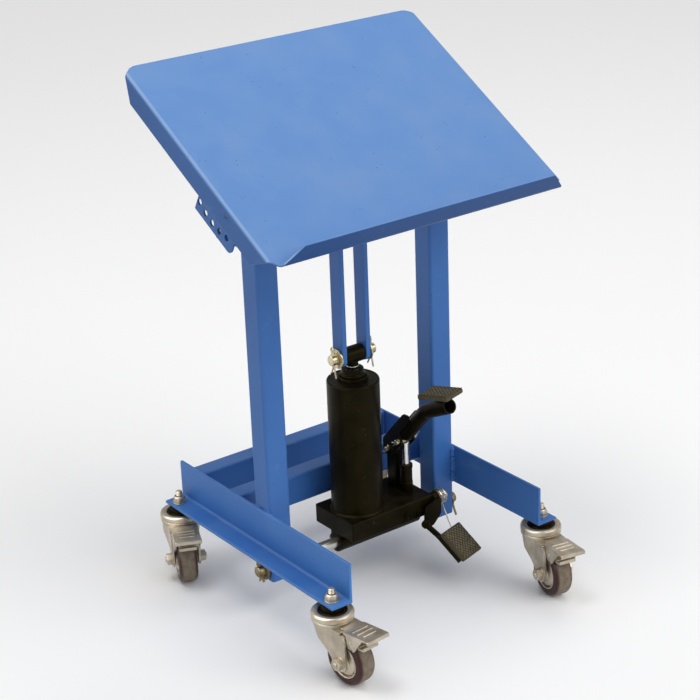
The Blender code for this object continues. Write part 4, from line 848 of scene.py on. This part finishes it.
def make_release_arm():
    pad = pad_place((0.1165, -0.1095, 0.0635), RELEASE_PAD_SLOPE)
    rod, width, length = 0.0045, 0.0485, 0.054
    left, under = rod - width / 2, -PAD_THICKNESS - WELD_GAP
    near, far = 0.004 - length / 2, length / 2
    bend = pad @ Vector((left, far, under - rod))
    tip = pad @ Vector((left, near, under - rod))
    inner, outer, plate_y = 0.1118, 0.1203, -0.0538
    root = (bend.x, plate_y, 0.0785)
    parts = [round_wire(bend_path([root, bend, tip], 0.012, 8), rod, smooth=False, sides=6)]
    knuckle = [(0.0, 0.004), (0.0066, 0.004, 0.003), (0.0072, -0.0045, 0.003), (0.0, -0.0045)]
    parts.append(turned(knuckle, "Y", root, sides=SMALL_SIDES))
    flag = [
        (0.0879, 0.072, 0.002), (0.1043, 0.072, 0.003), (outer, 0.088, 0.003), (outer, 0.1145, 0.002),
        (inner, 0.1145, 0.002), (0.0879, 0.106, 0.004),
    ]
    parts.append(prism(flag, "XZ", -0.0555, -0.052, 0.0007))
    parts.append(block((inner, plate_y, 0.1045), (outer, RELEASE_AT[1], 0.1128), 0.0008))
    parts.append(hollow_bar(0.01, 0.0053, inner, outer, 0.001, 0.0, "X", RELEASE_AT))
    parts.append(block((left, near, under - 0.0025), (-left, far - 0.004, under), 0.0008, pad))
    piece("release_arm", together(*parts), BLACK, "release_pedal", "black_paint", "release_lever")
    build = tread_pad(width, length, pad)
    piece("release_arm_pad", build, PAD_FINISH, "release_pedal", "pedal_rubber", "release_pad")
    pin = [(0.0, 0.1413), (0.005, 0.1413, 0.0008), (0.005, 0.1113, 0.0004), (0.0, 0.1113)]
    build = turned(pin, "X", RELEASE_AT, sides=SMALL_SIDES)
    piece("release_pivot_pin", build, YELLOW_ZINC, "base", "bright_zinc", "release_pin")
    build = spring_shape(pad @ Vector((0.004, 0.025, -0.004)))
    piece("release_spring", build, BRIGHT_ZINC, "release_pedal", "bright_zinc")


def spring_shape(foot):
    """A coil round the release pin, with one leg that runs to the pad."""
    turns, steps, radius = 3, 16, 0.0112
    coil = []
    for number in range(turns * steps + 1):
        angle = 2 * math.pi * number / steps - 0.6
        x = 0.1238 + 0.0115 * number / (turns * steps)
        y = RELEASE_AT[1] + radius * math.cos(angle)
        coil.append(Vector((x, y, RELEASE_AT[2] + radius * math.sin(angle))))
    leg = [coil[-1].lerp(foot, share) for share in (0.45, 0.98)]
    return round_wire(coil + leg, 0.0012, sides=2)


# Lift and tilting top

PIVOT_Z = 0.703
PIVOT_AT = (0.0, 0.0, PIVOT_Z)
PIVOT_BORE = 0.0063
TILT = Matrix.Translation(PIVOT_AT) @ Matrix.Rotation(math.radians(30), 4, "X")
HOLE_CIRCLE = 0.108
LOCK_Y = HOLE_CIRCLE * math.sin(math.radians(20))
LOCK_Z = PIVOT_Z - HOLE_CIRCLE * math.cos(math.radians(20))
POST_FOOT = 0.092
POST_TOP = 0.6687
BAR_HALF = 0.0125
BEAM_FOOT = 0.632
BEAM_TOP = 0.672
TOP_HALF_X = 0.2575
TOP_HALF_Y = 0.2015
TOP_LEVEL = 0.022
FLANGE_HEIGHT = 0.034
LIP_HEIGHT = 0.0335
BEND_RADIUS = 0.0065
BEND_STEPS = 10


def make_posts_and_bars():
    for name, side in SIDES.items():
        build = upright(side * COLUMN_X, TUBE_HALF, TUBE_WALL, TUBE_CORNER, POST_FOOT, POST_TOP)
        piece(f"{name}_inner_post", build, BLUE, "lift", "blue_paint", f"{name}_post")
        foot = RAM_PIN_Z - BAR_HALF
        bar = [(-BAR_HALF, foot, 0.009), (BAR_HALF, foot, 0.009), (BAR_HALF, POST_TOP), (-BAR_HALF, POST_TOP)]
        build = prism(bar, "YZ", *span(side, 0.0178, 0.0258), 0.0008, [(0.0, RAM_PIN_Z, RAM_EYE)])
        piece(f"{name}_flat_bar", build, BLUE, "lift", "blue_paint", f"{name}_push_bar")


def make_beam():
    half, inner = 0.02, 0.017
    channel = [
        (half, BEAM_TOP, 0.0045), (half, BEAM_FOOT, 0.0008), (inner, BEAM_FOOT, 0.0008),
        (inner, 0.669, 0.002),
    ]
    parts = [prism(both_halves(channel, 0), "YZ", -0.19, 0.19, 0.0005)]
    tab, low, high = LOCK_Y + 0.014, LOCK_Z - 0.014, LOCK_Z + 0.014
    lug = [
        (-half, low, 0.003), (tab, low, 0.003), (tab, high, 0.004), (0.018, 0.7092), (0.018, 0.721, 0.012),
        (-0.018, 0.721, 0.012), (-0.018, 0.7), (-half, BEAM_TOP, 0.004),
    ]
    holes = [(0.0, PIVOT_Z, PIVOT_BORE), (LOCK_Y, LOCK_Z, 0.0048)]
    for side in (-1, 1):
        parts.append(prism(lug, "YZ", *span(side, 0.188, 0.192), 0.0006, holes))
        x = side * 0.1872
        for face in (-1, 1):
            y = face * 0.0203
            parts.append(weld((x, y, BEAM_FOOT + 0.002), (x, y, BEAM_TOP - 0.002), 0.002, face + 30))
    piece("lift_crossbeam", together(*parts), BLUE, "lift", "blue_paint", "lift_beam")


def make_tilt_bolts():
    for name, side in SIDES.items():
        parts = [round_bar(0.006, *span(side, 0.1812, 0.1965), 0.0, "X", PIVOT_AT)]
        for near, far in ((0.197, 0.2026), (0.1807, 0.1865)):
            parts.append(hexagon(0.0095, *span(side, near, far), "X", PIVOT_AT))
        for near, far in ((0.1955, 0.197), (0.1865, 0.1879)):
            parts.append(washer(0.0108, 0.0061, *span(side, near, far), "X", PIVOT_AT))
        piece(f"{name}_tilt_bolt", together(*parts), BRIGHT_ZINC, "lift", "bright_zinc", f"{name}_pivot_bolt")


def make_lock_pin():
    lock = [
        (0.0, -0.192), (0.004, -0.192, 0.0008), (0.0045, -0.1905, 0.0004), (0.0045, -0.167),
        (0.0075, -0.166, 0.0006), (0.0075, -0.1635, 0.0006), (0.011, -0.1625, 0.0012),
        (0.011, -0.149, 0.002), (0.0, -0.1478),
    ]
    build = turned(lock, "X", (0, LOCK_Y, LOCK_Z), sides=SMALL_SIDES)
    piece("tilt_lock_plunger", build, BRASS, "tilt_lock", "brass", "tilt_lock_pin")


def edges_at(build, axis, value):
    """The edges that lie flat at a value along an axis."""
    return [edge for edge in build.edges if all(abs(vert.co[axis] - value) < 0.00001 for vert in edge.verts)]


def fold(build, edges, centre, axis, angle, flat):
    """Bends a sheet edge round an axis and runs it on flat, its ends cut on a slant all the way."""
    arc = BEND_RADIUS * abs(angle) / BEND_STEPS
    runs = [(arc * 0.6, Matrix.Rotation(angle / BEND_STEPS, 3, axis))] * BEND_STEPS
    runs.append((Vector(flat).length * 0.9, None))
    for inset, turn in runs:
        edges, ends = run_on(build, edges)
        if turn:
            bmesh.ops.rotate(build, cent=centre, matrix=turn, verts=ends)
        else:
            bmesh.ops.translate(build, vec=flat, verts=ends)
        middle = sum((vert.co for vert in ends), Vector()) / len(ends)
        for vert in ends:
            vert.co += (middle - vert.co).normalized() * inset


def make_folded_top():
    half_x, front, back = TOP_HALF_X - BEND_RADIUS, BEND_RADIUS - TOP_HALF_Y, TOP_HALF_Y
    lip_cut, cut, back_cut = 0.003, 0.0045, 0.007
    half = [
        (half_x - lip_cut, front), (half_x, front + cut), (half_x, back - back_cut),
        (half_x - back_cut, back, 0.008),
    ]
    build = bmesh.new()
    outline(build, both_halves(half, 0))
    bmesh.ops.edgeloop_fill(build, edges=build.edges)
    bmesh.ops.translate(build, vec=(0, 0, TOP_LEVEL), verts=build.verts)
    down, up = (0, 0, BEND_RADIUS - FLANGE_HEIGHT), (0, 0, LIP_HEIGHT - BEND_RADIUS)
    for side in (1, -1):
        centre = (side * half_x, 0, TOP_LEVEL - BEND_RADIUS)
        fold(build, edges_at(build, 0, side * half_x), centre, (0, 1, 0), side * math.pi / 2, down)
    centre = (0, front, TOP_LEVEL + BEND_RADIUS)
    fold(build, edges_at(build, 1, front), centre, (1, 0, 0), -math.pi / 2, up)
    build = placed(faced_out(build), TILT)
    item = piece("folded_top", build, TOP_BLUE, "top", "blue_paint", "tilt_top")
    sheet = item.modifiers.new("sheet", "SOLIDIFY")
    sheet.thickness = 0.003
    sheet.offset = -1.0
    sheet.use_even_offset = True
    edges = item.modifiers.new("edges", "BEVEL")
    edges.width = 0.0007
    edges.segments = 2
    edges.limit_method = "ANGLE"
    edges.angle_limit = math.radians(50)
    # The weighted normals that every piece has come last.
    item.modifiers.move(0, 2)


def make_sectors():
    foot, head = -HOLE_CIRCLE - 0.011, 0.0187
    sector = [(-0.055, foot, 0.008), (0.043, foot, 0.001), (0.043, head), (-0.055, head)]
    holes = [(0.0, 0.0, PIVOT_BORE)]
    for number in range(-2, 3):
        angle = math.radians(10 * number)
        holes.append((-HOLE_CIRCLE * math.sin(angle), -HOLE_CIRCLE * math.cos(angle), 0.005))
    for name, side in SIDES.items():
        parts = [prism(sector, "YZ", *span(side, 0.1923, 0.1953), 0.0005, holes)]
        x, z = side * 0.1958, head - 0.0005
        for start, end, seed in ((-0.05, -0.01, 41), (0.004, 0.038, 42)):
            parts.append(weld((x, start, z), (x, end, z), 0.0018, seed))
        build = placed(together(*parts), TILT)
        piece(f"{name}_tilt_sector", build, BLUE, "top", "blue_paint", f"{name}_sector")


# Casters

TRAIL = 0.036
WHEEL_RADIUS = 0.0375
AXLE_AT = (TRAIL, 0.0, WHEEL_RADIUS)
STEM_AT = (0.0, 0.0, 0.0)
BRAKE_PIN_AT = (0.046, 0.0, 0.0778)
FORK_SHEET = 0.003
FORK_SHELF = 0.0678
FORK_REACH = 0.049
FORK_LEG = 0.0215
FORK_FOOT = 0.024
FORK_EYE = 0.013
SKIRT_STEPS = 28


def caster_place(corner):
    stem = Vector(joints[f"{corner}_swivel_hinge"]["pos_m"])
    axle = Vector(joints[f"{corner}_wheel_hinge"]["pos_m"])
    yaw = math.atan2(axle.y - stem.y, axle.x - stem.x)
    return Matrix.Translation((stem.x, stem.y, 0)) @ Matrix.Rotation(yaw, 4, "Z")


def stem_shape():
    stud = [(0.0, 0.1352), (0.0036, 0.1352, 0.0008), (0.0051, 0.1338, 0.0006)]
    for number in range(4):
        top = 0.1334 - 0.0015 * number
        stud += [(0.0046, top - 0.0004), (0.0051, top - 0.0011)]
    stud += [(0.0043, 0.1272), (0.0043, 0.1245)]
    race = [
        (0.006, 0.1107), (0.016, 0.1107, 0.001), (0.016, 0.0982, 0.001), (0.0208, 0.0982, 0.0008),
        (0.0214, 0.1012, 0.0008), (0.0236, 0.1023, 0.0014), (0.0312, 0.1023, 0.0045), (0.0312, 0.0928, 0.001),
        (0.008, 0.0928), (0.008, 0.0837), (0.012, 0.0837, 0.0005), (0.012, 0.0797, 0.0012), (0.0, 0.0797),
    ]
    ring = washer(0.011, 0.0062, 0.1155, 0.1172, "Z", STEM_AT)
    collar = [
        (0.0058, 0.1262), (0.0066, 0.127, 0.0006), (0.0084, 0.1258, 0.0014), (0.0088, 0.1228),
        (0.0058, 0.1228),
    ]
    nut = hexagon(0.0102, 0.1172, 0.1236, "Z", STEM_AT, 0.4)
    return together(turned(stud + race), ring, nut, turned(collar, closed=True, sides=SMALL_SIDES))


def well_grease_and_shade_shape():
    """The dark well of the race round its neck: a black ring for grease and painted shade in the well."""
    profile = [
        (0.0161, 0.1104), (0.0164, 0.101, 0.001), (0.0176, 0.0996, 0.001), (0.0209, 0.0993, 0.0006),
        (0.0209, 0.0986), (0.0161, 0.0988),
    ]
    return turned(profile, closed=True)


def between(height, heights, values):
    """The value at a height, read from a falling list of heights."""
    for upper, lower, high, low in zip(heights, heights[1:], values, values[1:]):
        if height >= lower:
            return low + (high - low) * (height - lower) / (upper - lower)
    return values[-1]


def skirt_surface():
    """The fork's skirt before it is cut: rows of one outline, bowed out to the sides and round the back."""
    skirt = bmesh.new()
    heights = (
        0.0885, 0.0845, 0.08, 0.076, 0.0715, FORK_SHELF, 0.0625, 0.058, 0.0535, 0.049, 0.043, 0.034,
        FORK_FOOT,
    )
    flares = (
        0.0075, 0.0075, 0.0075, 0.0074, 0.0072, 0.0068, 0.0061, 0.0051, 0.0039, 0.0026, 0.0013, 0.0005, 0.0,
    )
    backs = (0.0298, 0.0272, 0.0232, 0.019, 0.0138, 0.0082)
    arm = [(1.0, -1.0), (0.7, -1.0), (0.45, -1.0), (0.4, -1.0), (0.2, -1.0)]
    plan = list(arm)
    for step in range(SKIRT_STEPS + 1):
        angle = math.radians(270 - 180 * step / SKIRT_STEPS)
        plan.append((min(math.cos(angle), 0.0), math.sin(angle)))
    plan += [(share, -across) for share, across in reversed(arm)]
    outline(skirt, plan, closed=False)
    forward = skirt.verts.layers.float.new("forward")
    across = skirt.verts.layers.float.new("across")
    for vert in skirt.verts:
        vert[forward], vert[across] = vert.co.x, vert.co.y
    ring = list(skirt.edges)
    row = list(skirt.verts)
    for number, height in enumerate(heights):
        if number:
            ring, row = run_on(skirt, ring)
        for vert in row:
            depth = max(height, FORK_SHELF) if vert[forward] < 0 else height
            fade = 1.0 - 0.86 * min(max(vert[forward], 0.0) / 0.42, 1.0) ** 1.4
            half = FORK_LEG + between(depth, heights, flares) * fade
            along = vert[forward] * (FORK_REACH if vert[forward] > 0 else between(depth, heights, backs))
            vert.co = (along, vert[across] * half, depth)
    bmesh.ops.remove_doubles(skirt, verts=skirt.verts, dist=0.00001)
    return skirt


def skirt_shape():
    """The skirt cut to the fork's side view, below the brow and behind the eye, and thickened."""
    skirt = skirt_surface()
    brow = [
        (FORK_REACH, FORK_FOOT), (FORK_REACH, 0.0846), (0.02, 0.0868), (-0.01, 0.09), (-0.032, 0.0925)]
    eye = [(-0.0005, FORK_SHELF)]
    for angle in range(225, 361, 15):
        turn = math.radians(angle)
        eye.append((TRAIL + FORK_EYE * math.cos(turn), WHEEL_RADIUS + FORK_EYE * math.sin(turn)))
    for side_view, ceiling in ((brow, 1.0), (eye, FORK_SHELF)):
        for first, second in zip(side_view, side_view[1:]):
            faces = [face for face in skirt.faces if face.calc_center_median().z < ceiling]
            cut = list(dict.fromkeys(item for face in faces for item in (*face.verts, *face.edges, face)))
            bmesh.ops.bisect_plane(
                skirt, geom=cut, clear_outer=True, plane_co=(first[0], 0.0, first[1]),
                plane_no=(second[1] - first[1], 0.0, first[0] - second[0]))
    bmesh.ops.solidify(faced_out(skirt), geom=skirt.faces[:], thickness=FORK_SHEET)
    return faced_out(skirt)


def fork_shape():
    """A crown disc over a pressed skirt that narrows into two legs, and the brake's rivets."""
    crown = [
        (0.0083, 0.0922), (0.028, 0.0922, 0.0006), (0.0308, 0.0922, 0.0014), (0.0305, 0.0872, 0.001),
        (0.028, 0.0848, 0.0008), (0.0083, 0.0848),
    ]
    parts = [turned(crown, closed=True), skirt_shape()]
    roof = [(0.0, -0.0286), (0.0206, -0.0228), (0.0392, -0.0228)]
    parts.append(prism(both_halves(roof, 1), "XY", 0.0846, 0.087, 0.0008))
    for side in (-1, 1):
        parts.append(round_bar(0.0042, *span(side, 0.0205, 0.0229), 0.0016, "Y", BRAKE_PIN_AT))
    parts.append(round_bar(0.0025, -0.02, 0.02, 0.0, "Y", BRAKE_PIN_AT))
    return together(*parts)


def axle_shape():
    parts = [round_bar(0.0046, -0.0322, 0.0322, 0.0012, "Y", AXLE_AT)]
    for side in (-1, 1):
        parts.append(hexagon(0.0094, *span(side, 0.0228, 0.0302), "Y", AXLE_AT, 0.3))
        parts.append(washer(0.0106, 0.0052, *span(side, 0.0216, 0.0228), "Y", AXLE_AT))
    return together(*parts)


def wheel_ring(half, sides):
    """A ring about the axle, from one half of its profile."""
    return turned(both_halves(half, 1), "Y", AXLE_AT, closed=True, sides=sides)


def hub_shape():
    half = [
        (0.0053, 0.0178), (0.0108, 0.0178, 0.001), (0.012, 0.015, 0.001), (0.016, 0.0138, 0.0012),
        (0.0208, 0.0126, 0.001), (0.0218, 0.0108, 0.0006), (0.022, 0.007, 0.0002), (0.0236, 0.007, 0.0002),
        (0.0238, 0.0146, 0.0006), (0.0258, 0.0148, 0.0006),
    ]
    return wheel_ring(half, TURNED_SIDES)


def tyre_shape():
    half = [
        (0.0262, 0.0142), (0.0268, 0.015, 0.0005), (0.03, 0.015, 0.002), (WHEEL_RADIUS, 0.0132, 0.0052),
        (WHEEL_RADIUS, 0.005), (WHEEL_RADIUS, 0.002),
    ]
    return wheel_ring(half, BIG_SIDES)


def brake_shape():
    """A stepped pressing: ribbed foot plate, two cheeks and a shoe over the tyre."""
    slope = Matrix.Translation((0.0312, 0, 0.0875)) @ Matrix.Rotation(-math.atan2(0.005, 0.0648), 4, "Y")
    root, half = 0.014, 0.0205
    plan = [(0.0012, -root, 0.001), (0.0085, -root, 0.003), (0.0125, -half, 0.003), (0.0647, -half, 0.0025)]
    parts = [placed(prism(both_halves(plan, 1), "XY", 0.0, 0.0025, 0.0008), slope)]
    parts.append(block((0.0614, -half, -0.0036), (0.0648, half, 0.0026), 0.0015, slope))
    for along, rib in ((0.0265, root), (0.0365, root), (0.047, 0.0115)):
        parts.append(block((along - 0.001, -rib, 0.0015), (along + 0.001, rib, 0.0036), 0.0008, slope))
    ear = [
        (0.0405, 0.0885), (0.0405, 0.0735, 0.004), (0.044, 0.0684, 0.003), (0.054, 0.066, 0.003),
        (0.062, 0.0655, 0.002), (0.064, 0.0885),
    ]
    cheek = [
        (0.0502, 0.0895), (0.0502, 0.0752, 0.003), (0.059, 0.069, 0.004), (0.0625, 0.0662, 0.003),
        (0.0665, 0.0676, 0.003), (0.074, 0.079, 0.005), (0.083, 0.0915),
    ]
    hole = [(BRAKE_PIN_AT[0], BRAKE_PIN_AT[2], 0.0028)]
    for side in (-1, 1):
        parts.append(prism(ear, "XZ", *span(side, 0.0162, 0.018), 0.0005, hole))
        parts.append(prism(cheek, "XZ", *span(side, 0.0186, 0.0204), 0.0006))
        parts.append(round_bar(0.003, *span(side, 0.02, 0.0209), 0.0004, "Y", (0.0585, 0, 0.079)))
    shoe = [
        (0.066, 0.0915), (0.066, 0.0685, 0.002), (0.08, 0.07, 0.002), (0.08, 0.076, 0.001),
        (0.0772, 0.076, 0.001), (0.0772, 0.073, 0.001), (0.069, 0.072, 0.002), (0.069, 0.0915),
    ]
    parts.append(prism(shoe, "XZ", -0.0135, 0.0135, 0.0007))
    return together(*parts)


def make_casters():
    for corner in ("fl", "fr", "rl", "rr"):
        place = caster_place(corner)
        pieces = (
            ("stem_and_race", stem_shape, [SATIN_ZINC, BLACK], "base", "satin_zinc", "caster_stem"),
            # The race's well: a black ring for grease and painted shade.
            ("race_well_grease_and_shade", well_grease_and_shade_shape, BLACK, "base", "black_paint", None),
            ("fork_pressing", fork_shape, SATIN_ZINC, f"{corner}_swivel", "satin_zinc", "caster_fork"),
            ("axle_bolt", axle_shape, SATIN_ZINC, f"{corner}_swivel", "bright_zinc", "caster_axle"),
            ("hub_disc", hub_shape, SATIN_ZINC, f"{corner}_wheel", "satin_zinc", "wheel_hub"),
            ("tyre_moulding", tyre_shape, TYRE, f"{corner}_wheel", "tyre", "wheel_tyre"),
            ("brake_pressing", brake_shape, SATIN_ZINC, f"{corner}_brake", "satin_zinc", "brake_pedal"),
        )
        for name, shape, finish, body, slot, node in pieces:
            stands_for = [f"{corner}_{node}"] if node else []
            item = piece(f"{corner}_{name}", placed(shape(), place), finish, body, slot, *stands_for)
            # The neck inside the race's well is black: grease and painted shade.
            if name == "stem_and_race":
                recolour(item, lambda centre: 0.103 < centre.z < 0.1109)


# Studio

WHITE = (1.0, 1.0, 1.0, 1.0)
SKY_STRENGTH = 0.45
FLOOR_SIZE = 14.0
CAMERA_LENS = 99.332
CAMERA_AT = (-1.56364353, -2.13023283, 1.48114806)
CAMERA_RIGHT = (0.7975774, -0.60220876, -0.03485539)
CAMERA_UP = (0.25779354, 0.28804699, 0.92226429)
CAMERA_BACK = (-0.54535564, -0.74456265, 0.38498529)


def lamp(name, kind, energy, at, toward, size):
    data = bpy.data.lights.new(name, kind)
    data.energy = energy
    if kind == "AREA":
        data.size = size
    else:
        data.angle = size
    item = linked(name, data)
    item.location = at
    item.rotation_euler = (Vector(toward) - Vector(at)).to_track_quat("-Z", "Y").to_euler()
    return item


def make_floor():
    build = bmesh.new()
    bmesh.ops.create_grid(build, x_segments=1, y_segments=1, size=FLOOR_SIZE)
    mesh = meshed("floor", build)
    paper = Finish("studio_paper", {"Roughness": 0.9, "Specular IOR Level": 0.1})
    paper.set("Base Color", shade(0.98, 0.98, 0.98))
    mesh.materials.append(paper.material)
    floor = linked("floor", mesh)


def make_light():
    bpy.context.scene.view_settings.view_transform = "Standard"
    world = bpy.data.worlds.new("studio")
    world.use_nodes = True
    sky = world.node_tree.nodes["Background"]
    sky.inputs["Color"].default_value = WHITE
    sky.inputs["Strength"].default_value = SKY_STRENGTH
    bpy.context.scene.world = world
    lamp("sky_panel", "AREA", 18.0, (1.75, 0.15, 3.35), (0.0, 0.0, 0.6), 2.2)
    lamp("front_sun", "SUN", 1.3, (1.2, -2.4, 2.6), (0.0, 0.0, 0.4), math.radians(50))
    lamp("bend_panel", "AREA", 26.0, (-0.95, -0.05, 3.4), (-0.15, 0.0, 0.7), 1.2)
    gloss = lamp("gloss_panel", "AREA", 240.0, (-2.62, 0.48, 2.45), (-0.25, -0.08, 0.7), 5.0)
    gloss.visible_diffuse = False


def make_camera():
    camera = bpy.data.cameras.new("camera")
    camera.sensor_width = 36.0
    camera.lens = CAMERA_LENS
    camera.clip_end = 100.0
    item = linked("camera", camera)
    turn = Matrix((CAMERA_RIGHT, CAMERA_UP, CAMERA_BACK)).transposed().to_4x4()
    item.matrix_world = Matrix.Translation(CAMERA_AT) @ turn
    bpy.context.scene.camera = item


make_base()
make_shaft()
make_pump_block()
make_tank()
make_ram()
make_pump_cylinder()
make_lever_post()
make_valve_plugs()
plate_pressure_cylinder()
make_foot_lever()
make_release_arm()
make_posts_and_bars()
make_beam()
make_tilt_bolts()
make_lock_pin()
make_folded_top()
make_sectors()
make_casters()
make_floor()
make_light()
make_camera()
